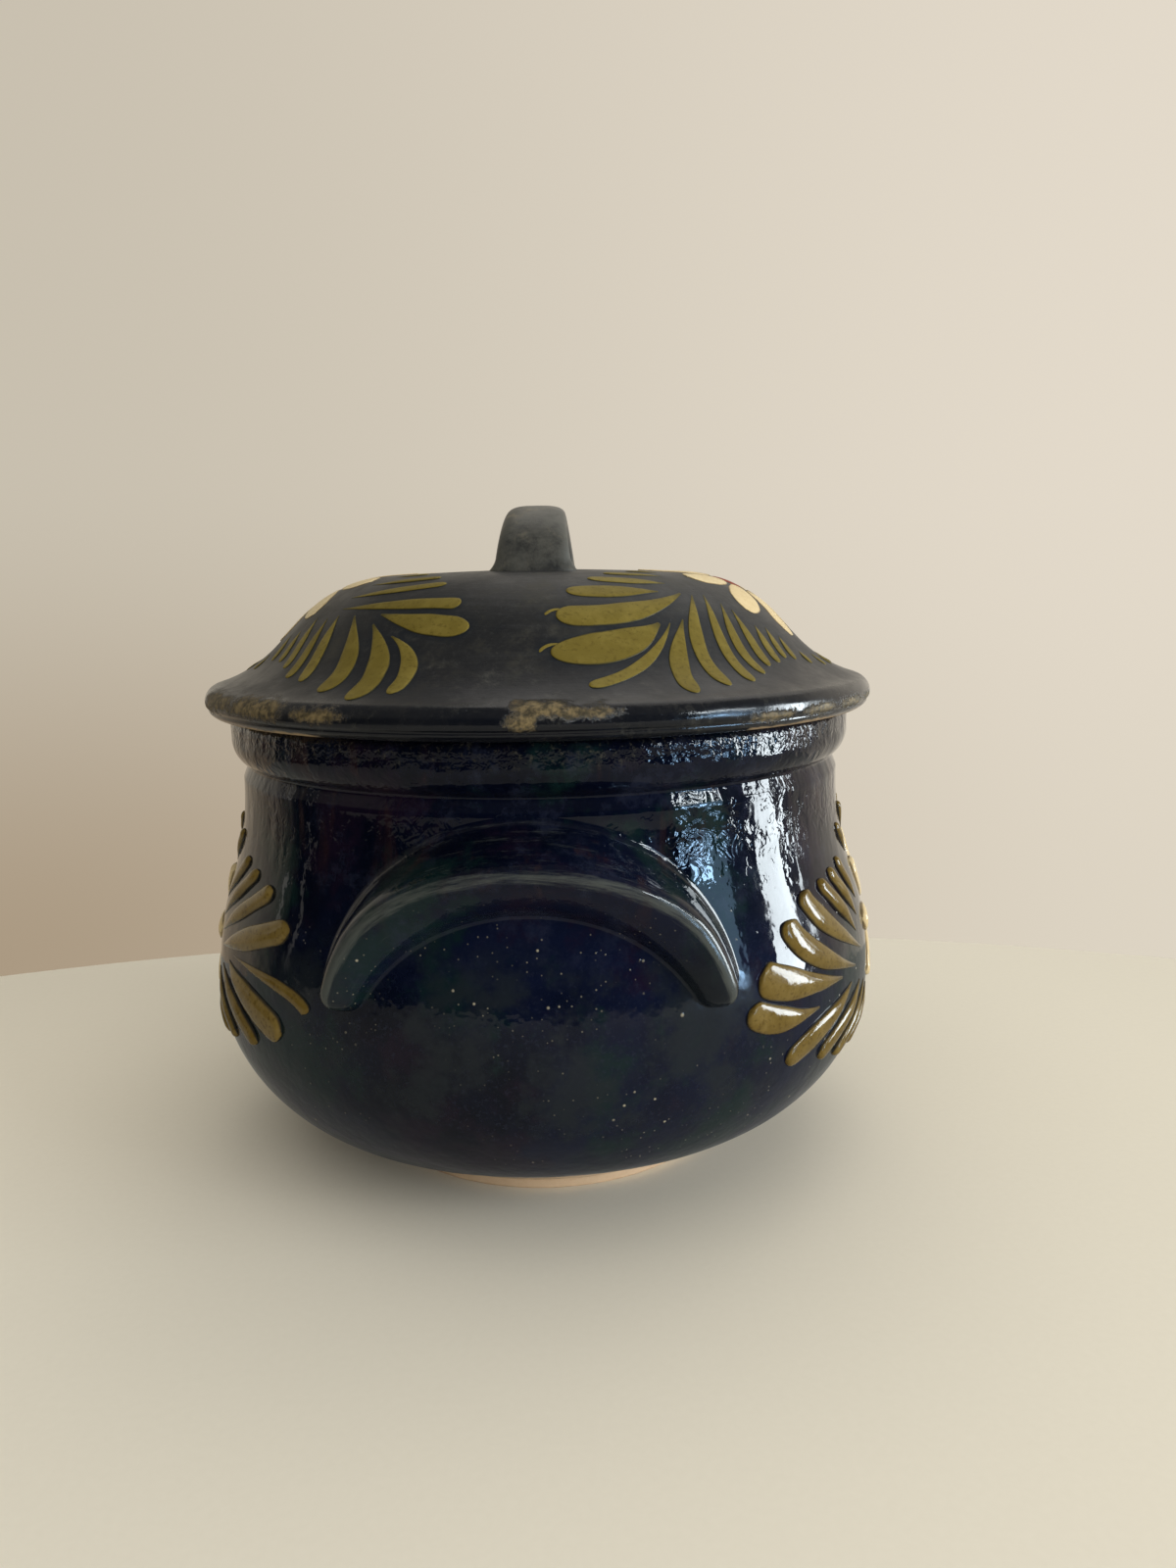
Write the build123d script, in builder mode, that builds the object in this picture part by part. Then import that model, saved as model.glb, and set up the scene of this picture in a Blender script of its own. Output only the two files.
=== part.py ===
"""Covered pot: a thrown pot with two lug handles, a loose lid with a strap handle, trailed slip sprays."""

import os
from math import asin, cos, degrees, radians, sin, tan
from typing import NamedTuple

from build123d import *

# Pot wall, turned about Z and standing on z = 0, in millimetres and degrees
BELLY_RADIUS = 106.5
BELLY_HEIGHT = 58.0
FOOT_INSET = 48.5
FOOT_HEIGHT = 3.0
FLARE_ANGLE = 30.0
NECK_INSET = 11.3
NECK_RISE = 64.0
WALL = 7.0
FLOOR = 9.0

# Collar round the mouth, with a crease below it
CREASE_RISE = 4.0
CREASE_DEPTH = 1.6
COLLAR_PROUD = 3.0
COLLAR_SWELL = 8.0
COLLAR_HEIGHT = 15.0
RIM_OUTER_ROUND = 3.0
RIM_INNER_ROUND = 2.0

# Lid, from its rolled edge up to the crown
LID_OVERHANG = 6.8
LID_EDGE_RADIUS = 4.7
BRIM_ANGLE = 16.5
BRIM_RADIUS = 43.0
CONE_ANGLE = 46.0
CONE_LENGTH = 10.2
SHOULDER_RADIUS = 43.5
CROWN_ANGLE = 3.8
LID_WALL = 7.0
FLANGE_CLEARANCE = 1.5
FLANGE_DEPTH = 9.0
FLANGE_WALL = 6.0
FLANGE_ROUND = 1.5

# Strap handle over the crown, running front to back
STRAP_SPAN = 74.0
STRAP_RISE = 20.0
STRAP_THICKNESS = 7.0
STRAP_TOP_WIDTH = 17.0
STRAP_FOOT_WIDTH = 23.0
STRAP_EDGE_RADIUS = 3.0
STRAP_TUCK_ANGLE = 15.0

# Lug handles, crescents luted to the shoulder at front and back
LUG_ANGLES = {"front_handle": 270.0, "rear_handle": 90.0}
LUG_ARC_RADIUS = 54.0
LUG_ARC_CLIMB = -2.0
LUG_SWEEP_ANGLE = 66.0
LUG_HALF_HEIGHT = 11.2
LUG_REACH = 14.0
LUG_TIP_HALF_HEIGHT = 6.6
LUG_TIP_REACH = 8.5
LUG_ROOT = 3.0

# A lug's section as shares of its half height and reach, from its upper edge down, and stations along it
LUG_SECTION = ((0.62, 0.5), (0.1, 0.98), (-0.42, 0.9), (-0.86, 0.5))
LUG_STATIONS = (-1.08, -1.0, -0.8, -0.6, -0.4, -0.2, 0.0, 0.2, 0.4, 0.6, 0.8, 1.0, 1.08)
LUG_END = 1.11
LUG_STEP = 0.02

# Trailed slip: how proud it stands, and how a stroke swells from root to tip
POT_RELIEF = 1.7
LID_RELIEF = 0.9
SLIP_SEAT = 0.3
STROKE_STATIONS = ((0.0, 0.14), (0.2, 0.5), (0.4, 0.83), (0.6, 1.0), (0.78, 0.94), (0.92, 0.62), (1.0, 0.22))
PETAL_STATIONS = ((0.0, 0.3), (0.2, 0.7), (0.5, 1.0), (0.78, 0.98), (0.94, 0.65), (1.0, 0.25))
STROKE_SLIMNESS = 0.62
STROKE_STEP = 0.02
STROKE_FLANK = (0.6, 0.82)

# Flowers: a ring of petals round a raised centre, in hundredths of the lid's or the belly's radius
POT_FLOWER_CLIMB = 11.5
LID_FLOWER_DISTANCE = 58.0
PETAL_COUNT = 9
PETAL_START = 7.5
PETAL_END = 27.0
PETAL_WIDTH = 8.5
PETAL_ANGLE = 7.0
CENTRE_RADIUS = 5.0
CENTRE_ROOT = 3.0

# Strokes of each spray: waypoints round from the flower (degrees) and up from it, then width, both in
# hundredths of the lid's or the belly's radius
LID_RIGHT_STROKES = [
    ((35, 8.5), (45, 12.5), 2.4),
    ((38, 4), (56, 8.5), 2.9),
    ((42, -2), (63, 3), 4.3),
    ((47, -6.5), (70, -5), 6.2),
    ((41, -7.5), (57, -14.5), (73, -15), 7.6),
    ((52, -19), (62, -25.5), (74.5, -27.5), 9.5),
    ((49.5, -19), (59, -32.5), (69, -40), 4.3),
    ((46, -18), (52, -32.5), (53, -45.5), 6.7),
    ((38, -8.5), (45.5, -25.5), (46, -43), 5.7),
    ((34, -8.5), (39.5, -25), (40.5, -42), 4.2),
    ((31, -12.5), (35.5, -25.5), (36, -39), 3.6),
    ((29, -15), (32.5, -36), 3.6),
    ((25, -21), (28.5, -35), 3.4),
    ((21, -22), (24.5, -33.5), 3.0),
    ((18, -25.5), (21, -34.5), 2.7),
    ((14.5, -31.5), (16, -37), 2.5),
    ((8, -33.5), (9, -39), 2.5),
    ((2, -34.5), (2.4, -40), 2.3),
]
LID_LEFT_STROKES = [
    ((35, 7.5), (46, 11.5), 2.4),
    ((34, 0), (57, 5.5), 2.9),
    ((34, -7.5), (62, 0), 3.3),
    ((36, -12.5), (57, -10.5), (69.5, -10.5), 4.6),
    ((51, -14.5), (64, -18), (73, -19), 8.1),
    ((57, -22), (63.5, -30.5), (63.5, -43), 4.8),
    ((50.5, -18), (57.5, -31.5), (57.5, -46.5), 8.6),
    ((43, -15), (50, -30.5), (50, -43), 7.6),
    ((37, -15), (43, -39), 5.0),
    ((33, -16), (38, -38), 3.6),
    ((27.5, -16), (33, -34.5), 3.3),
    ((24, -21), (28, -32.5), 2.9),
    ((19, -23), (23, -32.5), 2.7),
    ((15, -30.5), (17.5, -37), 2.5),
    ((8, -33.5), (9, -39), 2.5),
    ((2, -34.5), (2.4, -40), 2.3),
]
POT_RIGHT_STROKES = [
    ((3, 31), (5, 39.5), 2.8),
    ((8.5, 29), (12.5, 38.5), 3.0),
    ((15, 24.5), (20.5, 34.5), 3.2),
    ((19.5, 12), (26, 26.5), 3.6),
    ((22, 8), (31, 25), 4.1),
    ((24.5, 4.5), (36, 23.5), 4.9),
    ((23, -1), (36, 11.5), (42, 22.5), 7.0),
    ((27.5, -4), (42, 6.5), (47.5, 17), 8.0),
    ((34, -4), (48, 1), (55, 5.5), 9.4),
    ((42, -8), (52, -6.5), (57.5, -2), 8.0),
    ((30, -7.5), (50, -19), 6.6),
    ((25, -9.5), (41, -23), 5.3),
    ((21, -11.5), (34.5, -26.5), 4.5),
    ((17, -15), (27, -28), 3.8),
    ((12.5, -24.5), (18, -34.5), 3.2),
    ((5, -31), (7, -39.5), 2.8),
]
POT_LEFT_STROKES = [
    ((3, 31), (5, 39.5), 2.8),
    ((10, 29), (15, 38.5), 3.0),
    ((16, 24.5), (23, 35.5), 3.2),
    ((18, 14), (31, 30), 3.6),
    ((20, 9.5), (36.5, 28), 4.1),
    ((23, 6.5), (43, 25), 5.3),
    ((25, 3), (50, 17), 7.0),
    ((33, 3.5), (49, 2.5), (56, -2), 3.6),
    ((30.5, 1), (50, -10), 8.5),
    ((26, -2), (42.5, -16), 5.6),
    ((21, -5.5), (33, -19.5), 4.1),
    ((17.5, -13), (25, -23.5), 3.6),
    ((12, -25.5), (16, -34), 3.0),
    ((5, -31), (7, -39.5), 2.8),
]
POT_RIGHT_ANGLE = 0.0
POT_LEFT_ANGLE = 180.0
LID_RIGHT_ANGLE = 349.0
LID_LEFT_ANGLE = 186.0

# Radii, heights and curves that follow from the driving sizes
FOOT_RADIUS = BELLY_RADIUS - FOOT_INSET
NECK_RADIUS = BELLY_RADIUS - NECK_INSET
MOUTH_RADIUS = NECK_RADIUS - WALL
CREASE_RADIUS = NECK_RADIUS - CREASE_DEPTH
COLLAR_RADIUS = NECK_RADIUS + COLLAR_PROUD
LID_RADIUS = COLLAR_RADIUS + LID_OVERHANG
FLANGE_RADIUS = MOUTH_RADIUS - FLANGE_CLEARANCE
NECK_HEIGHT = BELLY_HEIGHT + NECK_RISE
CREASE_HEIGHT = NECK_HEIGHT + CREASE_RISE
RIM_HEIGHT = CREASE_HEIGHT + COLLAR_HEIGHT
LID_EDGE_CENTRE = Vector(LID_RADIUS - LID_EDGE_RADIUS, RIM_HEIGHT + LID_EDGE_RADIUS)
FLARE = radians(FLARE_ANGLE)
FLARE_RADIUS = (BELLY_HEIGHT - FOOT_HEIGHT - tan(FLARE) * FOOT_INSET) / (cos(FLARE) - tan(FLARE) * (1 - sin(FLARE)))
SWAY_RADIUS = (NECK_INSET**2 + NECK_RISE**2) / (4 * NECK_INSET)
SWAY_ANGLE = degrees(asin(NECK_RISE / 2 / SWAY_RADIUS))

os.makedirs("parts", exist_ok=True)


class Ground(NamedTuple):
    """A turned surface that slip and handles are laid on, how far up its meridian the datum is, its unit."""

    meridian: Wire
    datum: float
    unit: float = 1.0


class Spot(NamedTuple):
    """A place on a turned surface: the point, the outward normal and the radius there."""

    point: Vector
    normal: Vector
    radius: float


def spot_on(ground, bearing, climb):
    """The spot at a bearing about Z, a number of units up the meridian from the ground's datum."""
    along = ground.datum + climb * ground.unit
    place = ground.meridian.position_at(along, PositionMode.LENGTH)
    rise = ground.meridian.tangent_at(along, PositionMode.LENGTH)
    out = Vector(cos(radians(bearing)), sin(radians(bearing)), 0)
    up = Vector(0, 0, 1)
    return Spot(out * place.X + up * place.Y, out * rise.Y - up * rise.X, place.X)


def section_plane(spot, ahead):
    """A plane across a path at a spot: x across the path, y out of the surface, z along the path."""
    forward = (ahead - spot.normal * ahead.dot(spot.normal)).normalized()
    return Plane(spot.point, x_dir=spot.normal.cross(forward), z_dir=forward)


def wall_lines(inset=0.0):
    """The pot's flare, belly and shoulder up to the neck, moved in from the outer face."""
    foot = Vector(FOOT_RADIUS - inset * sin(FLARE), FOOT_HEIGHT + inset * cos(FLARE))
    belly_centre = (BELLY_RADIUS - FLARE_RADIUS, BELLY_HEIGHT)
    shoulder_centre = (BELLY_RADIUS - SWAY_RADIUS, BELLY_HEIGHT)
    neck_centre = (NECK_RADIUS + SWAY_RADIUS, NECK_HEIGHT)
    belly = CenterArc(belly_centre, FLARE_RADIUS - inset, FLARE_ANGLE - 90, 90 - FLARE_ANGLE)
    flare = Line(foot, belly @ 0)
    CenterArc(shoulder_centre, SWAY_RADIUS - inset, 0, SWAY_ANGLE)
    CenterArc(neck_centre, SWAY_RADIUS + inset, 180 + SWAY_ANGLE, -SWAY_ANGLE)
    return flare


def rim_lines():
    """The crease, the swelling collar and its rounded shoulder, from the neck to the top of the rim."""
    crease = Line((NECK_RADIUS, NECK_HEIGHT), (CREASE_RADIUS, CREASE_HEIGHT))
    swell_top = (COLLAR_RADIUS, CREASE_HEIGHT + COLLAR_SWELL)
    band = Line(swell_top, (COLLAR_RADIUS, RIM_HEIGHT - RIM_OUTER_ROUND))
    TangentArc(swell_top, crease @ 1, tangent=(0, -1))
    return JernArc(band @ 1, (0, 1), RIM_OUTER_ROUND, 90)


def lid_lines(inset=0.0):
    """The lid's hollow brim, cone, rounded shoulder and shallow crown, moved in from the outer face."""
    slope = radians(BRIM_ANGLE)
    start = LID_EDGE_CENTRE + Vector(sin(slope), cos(slope)) * (LID_EDGE_RADIUS - inset)
    brim = JernArc(start, (-cos(slope), sin(slope)), BRIM_RADIUS + inset, BRIM_ANGLE - CONE_ANGLE)
    cone = Line(brim @ 1, (brim @ 1) + (brim % 1) * CONE_LENGTH)
    shoulder = JernArc(cone @ 1, cone % 1, SHOULDER_RADIUS - inset, CONE_ANGLE - CROWN_ANGLE)
    crown_radius = (shoulder @ 1).X / sin(radians(CROWN_ANGLE))
    crown = JernArc(shoulder @ 1, shoulder % 1, crown_radius, CROWN_ANGLE)
    return brim @ 0, crown @ 1


def save(piece, name):
    """Label a finished piece and write it under its own name."""
    piece.part.label = name
    export_step(piece.part, f"parts/{name}.step")


# Meridians of the two turned faces, as radius and height, from the foot and from the brim upwards
with BuildLine() as wall_meridian:
    wall_lines()
with BuildLine() as lid_meridian:
    lid_brim, lid_top = lid_lines()
wall_wire = wall_meridian.wires()[0]
lid_wire = lid_meridian.wires()[0]
below_belly = wall_wire.edges().filter_by(lambda edge: edge.center().Y < BELLY_HEIGHT)
widest_line = sum(edge.length for edge in below_belly)
pot_unit = BELLY_RADIUS / 100
lid_unit = LID_RADIUS / 100
shoulder_ground = Ground(wall_wire, widest_line)
pot_flower_ground = Ground(wall_wire, widest_line + POT_FLOWER_CLIMB * pot_unit, pot_unit)
crown_ground = Ground(lid_wire, lid_wire.length)
lid_flower_ground = Ground(lid_wire, lid_wire.length - LID_FLOWER_DISTANCE * lid_unit, lid_unit)

# The pot as if it were solid, for trimming what is laid on it
with BuildPart() as pot_envelope:
    with BuildSketch(Plane.XZ):
        with BuildLine():
            flare_line = wall_lines()
            rim_arc = rim_lines()
            Polyline(flare_line @ 0, (FOOT_RADIUS, 0), (0, 0), (0, RIM_HEIGHT), rim_arc @ 1)
        make_face()
    revolve(axis=Axis.Z)

# Pot body: the same outline hollowed to an even wall, with a flat floor and an open mouth
with BuildPart() as pot_body:
    add(pot_envelope.part)
    with BuildSketch(Plane.XZ):
        with BuildLine():
            inner_foot = wall_lines(WALL) @ 0
            floor_edge = (inner_foot.X + (FLOOR - inner_foot.Y) / tan(FLARE), FLOOR)
            mouth_top = (MOUTH_RADIUS, RIM_HEIGHT)
            mouth_foot = (MOUTH_RADIUS, NECK_HEIGHT)
            Polyline(inner_foot, floor_edge, (0, FLOOR), (0, RIM_HEIGHT), mouth_top, mouth_foot)
        make_face()
    revolve(axis=Axis.Z, mode=Mode.SUBTRACT)
    rim_edges = pot_body.edges().group_by(Axis.Z)[-1]
    fillet(rim_edges.sort_by(SortBy.RADIUS)[0], RIM_INNER_ROUND)
save(pot_body, "pot_body")

# The lid as if it were solid down to its seat on the rim, for trimming what is laid on it
with BuildPart() as lid_envelope:
    with BuildSketch(Plane.XZ):
        with BuildLine():
            lid_lines()
            edge_arc = JernArc((LID_EDGE_CENTRE.X, RIM_HEIGHT), (1, 0), LID_EDGE_RADIUS, 180 - BRIM_ANGLE)
            Polyline(lid_top, (0, RIM_HEIGHT), edge_arc @ 0)
        make_face()
    revolve(axis=Axis.Z)

# Lid shell: hollow under the crown, with a flange that drops into the mouth and keeps it centred
with BuildPart() as lid_shell:
    add(lid_envelope.part)
    with BuildSketch(Plane.XY.offset(RIM_HEIGHT)):
        Circle(FLANGE_RADIUS)
    extrude(amount=-FLANGE_DEPTH)
    flange_foot = RIM_HEIGHT - FLANGE_DEPTH
    flange_inside = FLANGE_RADIUS - FLANGE_WALL
    with BuildSketch(Plane.XZ):
        with BuildLine():
            hollow_edge, hollow_top = lid_lines(LID_WALL)
            Polyline(hollow_top, (0, flange_foot), (hollow_edge.X, flange_foot), hollow_edge)
        make_face()
        Rectangle(flange_inside, lid_top.Y, align=Align.MIN, mode=Mode.INTERSECT)
    revolve(axis=Axis.Z, mode=Mode.SUBTRACT)
    fillet(lid_shell.edges().group_by(Axis.Z)[0], FLANGE_ROUND)
save(lid_shell, "lid_shell")

# Lid handle: a strap bent over the crown, narrower at the top, its long edges rounded
with BuildPart() as lid_handle:
    strap_base = spot_on(crown_ground, 0, -STRAP_SPAN / 2).point.Z
    strap_height = lid_top.Y + STRAP_RISE - strap_base
    strap_turn = 180 + 2 * STRAP_TUCK_ANGLE
    with BuildSketch(Plane.YZ):
        with BuildLine():
            over, under = (
                EllipticalCenterArc(
                    (0, strap_base),
                    STRAP_SPAN / 2 - depth,
                    strap_height - depth,
                    -STRAP_TUCK_ANGLE,
                    arc_size=strap_turn,
                )
                for depth in (0, STRAP_THICKNESS)
            )
            Line(over @ 0, under @ 0)
            Line(over @ 1, under @ 1)
        make_face()
    extrude(amount=STRAP_FOOT_WIDTH, both=True)
    with BuildSketch(Plane.XZ):
        with BuildLine():
            taper = (STRAP_FOOT_WIDTH - STRAP_TOP_WIDTH) / 2 / strap_height
            foot_half = STRAP_FOOT_WIDTH / 2 + taper * strap_height
            top_half = STRAP_TOP_WIDTH / 2 - taper * STRAP_THICKNESS
            foot_level = strap_base - strap_height
            top_level = strap_base + strap_height + STRAP_THICKNESS
            Polyline(
                (-foot_half, foot_level), (foot_half, foot_level), (top_half, top_level), (-top_half, top_level),
                close=True,
            )
        make_face()
    extrude(amount=STRAP_SPAN, both=True, mode=Mode.INTERSECT)
    fillet(lid_handle.edges().filter_by(lambda edge: edge.center().Z > strap_base), STRAP_EDGE_RADIUS)
    add(lid_envelope.part, mode=Mode.SUBTRACT)
save(lid_handle, "lid_handle")


def lug_spot(bearing, share):
    """A spot on a lug's middle line, which arches over the shoulder from one tip to the other."""
    turn = radians(LUG_SWEEP_ANGLE * share)
    climb = LUG_ARC_CLIMB + LUG_ARC_RADIUS * cos(turn)
    radius = spot_on(shoulder_ground, bearing, climb).radius
    return spot_on(shoulder_ground, bearing + degrees(LUG_ARC_RADIUS * sin(turn) / radius), climb)


def lug_section(bearing, share):
    """The lug's cross-section: a rounded roll, full in the middle, slighter to the tips and closing past them."""
    fade = min(share**2, 1)
    past = max(abs(share) - 1, 0) / (LUG_END - 1)
    close = cos(asin(past))
    half = close * (LUG_HALF_HEIGHT + (LUG_TIP_HALF_HEIGHT - LUG_HALF_HEIGHT) * fade)
    reach = close * (LUG_REACH + (LUG_TIP_REACH - LUG_REACH) * fade)
    ahead = lug_spot(bearing, share + LUG_STEP).point - lug_spot(bearing, share - LUG_STEP).point
    with BuildSketch(section_plane(lug_spot(bearing, share), ahead), mode=Mode.PRIVATE) as section:
        with BuildLine():
            Spline(
                (half, -LUG_ROOT),
                *((half * across, reach * out) for across, out in LUG_SECTION),
                (-half, -LUG_ROOT),
                (0, -2 * LUG_ROOT),
                periodic=True,
            )
        make_face()
    return section.sketch


# Lug handles: each a loft along an arch on the shoulder, trimmed to seat on the wall
for lug_name, lug_bearing in LUG_ANGLES.items():
    with BuildPart() as lug:
        lug_ends = [lug_spot(lug_bearing, share) for share in (-LUG_END, LUG_END)]
        first, last = (Vertex(*(end.point - end.normal * LUG_ROOT)) for end in lug_ends)
        loft([first, *(lug_section(lug_bearing, share) for share in LUG_STATIONS), last])
        add(pot_envelope.part, mode=Mode.SUBTRACT)
    save(lug, lug_name)


def stroke_spot(ground, bearing, side, waypoints, share):
    """A spot along a stroke, which runs straight or bends through its middle waypoint."""
    root, tip = Vector(*waypoints[0]), Vector(*waypoints[-1])
    middle = Vector(*waypoints[1]) if len(waypoints) > 2 else (root + tip) / 2
    pull = middle * 2 - (root + tip) / 2
    place = root * (1 - share) ** 2 + pull * (2 * share * (1 - share)) + tip * share**2
    return spot_on(ground, bearing + side * place.X, place.Y)


def slip_stroke(ground, bearing, side, waypoints, width, relief, stations):
    """One trailed stroke: a loft through crowned sections that swell and close along its path."""

    def spot(share):
        return stroke_spot(ground, bearing, side, waypoints, share)

    sections = []
    for share, swell in stations:
        half = width / 2 * swell * ground.unit
        crown = SLIP_SEAT + min(relief, half * STROKE_SLIMNESS)
        ahead = spot(share + STROKE_STEP).point - spot(share - STROKE_STEP).point
        with BuildSketch(section_plane(spot(share), ahead), mode=Mode.PRIVATE) as section:
            with BuildLine():
                Polyline(
                    (half, SLIP_SEAT),
                    (half * STROKE_FLANK[0], crown * STROKE_FLANK[1]),
                    (0, crown),
                    (-half * STROKE_FLANK[0], crown * STROKE_FLANK[1]),
                    (-half, SLIP_SEAT),
                    close=True,
                )
            make_face()
        sections.append(section.sketch)
    return loft(sections, ruled=True, mode=Mode.PRIVATE)


def petal_path(ground, turn):
    """A petal's root and tip about the flower, as a turn round the pot or lid and a climb."""
    radius = spot_on(ground, 0, 0).radius / ground.unit
    return [
        (degrees(reach * cos(radians(turn)) / radius), reach * sin(radians(turn)))
        for reach in (PETAL_START, PETAL_END)
    ]


class Spray(NamedTuple):
    """A flower with its leaf fans: what it lies on, where, how proud it stands, and its strokes."""

    ground: Ground
    envelope: Part
    bearing: float
    front: int
    relief: float
    strokes: list


SPRAYS = {
    "pot_right": Spray(pot_flower_ground, pot_envelope.part, POT_RIGHT_ANGLE, -1, POT_RELIEF, POT_RIGHT_STROKES),
    "pot_left": Spray(pot_flower_ground, pot_envelope.part, POT_LEFT_ANGLE, 1, POT_RELIEF, POT_LEFT_STROKES),
    "lid_right": Spray(lid_flower_ground, lid_envelope.part, LID_RIGHT_ANGLE, -1, LID_RELIEF, LID_RIGHT_STROKES),
    "lid_left": Spray(lid_flower_ground, lid_envelope.part, LID_LEFT_ANGLE, 1, LID_RELIEF, LID_LEFT_STROKES),
}

# Slip sprays: a leaf fan to the front and one to the back of each flower, its petals and its centre
for spray_name, spray in SPRAYS.items():
    for fan_name, side in (("front_leaves", spray.front), ("rear_leaves", -spray.front)):
        with BuildPart() as fan:
            add([
                slip_stroke(spray.ground, spray.bearing, side, waypoints, width, spray.relief, STROKE_STATIONS)
                for *waypoints, width in spray.strokes
            ])
        save(fan, f"{spray_name}_{fan_name}")

    with BuildPart() as petals:
        turns = [PETAL_ANGLE + step * 360 / PETAL_COUNT for step in range(PETAL_COUNT)]
        paths = [petal_path(spray.ground, turn) for turn in turns]
        add([
            slip_stroke(spray.ground, spray.bearing, spray.front, path, PETAL_WIDTH, spray.relief, PETAL_STATIONS)
            for path in paths
        ])
    save(petals, f"{spray_name}_petals")

    with BuildPart() as flower_centre:
        middle = spot_on(spray.ground, spray.bearing, 0)
        centre_radius = CENTRE_RADIUS * spray.ground.unit
        ball = (centre_radius**2 + spray.relief**2) / (2 * spray.relief)
        cap_angle = degrees(asin(1 - (spray.relief + CENTRE_ROOT) / ball))
        with Locations(Plane(middle.point + middle.normal * spray.relief, z_dir=middle.normal)):
            Sphere(ball, arc_size1=cap_angle, align=(Align.CENTER, Align.CENTER, Align.MAX))
        add(spray.envelope, mode=Mode.SUBTRACT)
    save(flower_centre, f"{spray_name}_flower_centre")
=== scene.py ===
"""Looks of the covered pot: glazed pot and lid, trailed slip sprays, studio and camera."""

import math

import bpy
import numpy as np
from mathutils import Matrix, Vector, kdtree


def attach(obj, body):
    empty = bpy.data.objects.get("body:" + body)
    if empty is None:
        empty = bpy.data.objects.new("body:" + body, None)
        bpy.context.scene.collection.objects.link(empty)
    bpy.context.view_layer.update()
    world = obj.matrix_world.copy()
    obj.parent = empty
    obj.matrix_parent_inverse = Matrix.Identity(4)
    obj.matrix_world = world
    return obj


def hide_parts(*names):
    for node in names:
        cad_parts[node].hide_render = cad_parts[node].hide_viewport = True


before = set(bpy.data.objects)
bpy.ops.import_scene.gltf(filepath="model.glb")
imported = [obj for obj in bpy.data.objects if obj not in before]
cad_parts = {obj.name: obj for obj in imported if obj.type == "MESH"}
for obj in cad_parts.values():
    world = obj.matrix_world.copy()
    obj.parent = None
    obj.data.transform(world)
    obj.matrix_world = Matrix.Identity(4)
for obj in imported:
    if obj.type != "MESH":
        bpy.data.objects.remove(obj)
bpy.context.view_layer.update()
scene = bpy.context.scene
MM = 0.001
rng = np.random.default_rng(20)

# Driving sizes in millimetres and degrees, as in the solids; only the lugs' reach is a little less
BELLY_RADIUS, BELLY_HEIGHT, FOOT_INSET, FOOT_HEIGHT, FLARE = 106.5, 58.0, 48.5, 3.0, 30.0
NECK_INSET, NECK_RISE, WALL, FLOOR = 11.3, 64.0, 7.0, 9.0
CREASE_RISE, CREASE_DEPTH, COLLAR_PROUD, COLLAR_SWELL, COLLAR_HEIGHT = 4.0, 1.6, 3.0, 8.0, 15.0
RIM_OUTER, RIM_INNER = 3.0, 2.0
LID_OVERHANG, LID_EDGE, LID_WALL = 6.8, 4.7, 7.0
BRIM_ANGLE, BRIM_RADIUS, CONE_ANGLE, CONE_LENGTH = 16.5, 43.0, 46.0, 10.2
SHOULDER_RADIUS, CROWN_ANGLE = 43.5, 3.8
FLANGE_CLEARANCE, FLANGE_WALL, FLANGE_DEPTH, FLANGE_ROUND = 1.5, 6.0, 9.0, 1.5
STRAP_SPAN, STRAP_RISE, STRAP_THICKNESS = 74.0, 20.0, 7.0
STRAP_TOP, STRAP_FOOT, STRAP_TUCK = 17.0, 23.0, 15.0
LUG_ARC, LUG_CLIMB, LUG_SWEEP, LUG_END = 54.0, -2.0, 66.0, 1.11
LUG_HALF, LUG_REACH, LUG_TIP_HALF, LUG_TIP_REACH = 11.2, 13.8, 6.6, 8.4

# Sizes that follow from them
FOOT_RADIUS = BELLY_RADIUS - FOOT_INSET
NECK_RADIUS = BELLY_RADIUS - NECK_INSET
MOUTH_RADIUS = NECK_RADIUS - WALL
CREASE_RADIUS = NECK_RADIUS - CREASE_DEPTH
COLLAR_RADIUS = NECK_RADIUS + COLLAR_PROUD
LID_RADIUS = COLLAR_RADIUS + LID_OVERHANG
FLANGE_RADIUS = MOUTH_RADIUS - FLANGE_CLEARANCE
NECK_HEIGHT = BELLY_HEIGHT + NECK_RISE
CREASE_HEIGHT = NECK_HEIGHT + CREASE_RISE
RIM_HEIGHT = CREASE_HEIGHT + COLLAR_HEIGHT

# A lug's section, upper edge to lower edge, as shares of its half height and reach, feathered into the wall
LUG_SECTION = [
    (1.30, -0.02), (1.08, 0.02), (0.92, 0.12), (0.62, 0.47), (0.30, 0.82), (0.06, 0.98), (-0.22, 0.97),
    (-0.56, 0.75), (-0.86, 0.44), (-0.98, 0.16), (-1.05, 0.03), (-1.20, -0.02),
]

# Rounding of the foot, and the groove under the lid's rolled edge
FOOT_ROUND = 0.8
GROOVE_HEIGHT, GROOVE_DEPTH, GROOVE_WIDTH = 143.6, 0.5, 0.5

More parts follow.
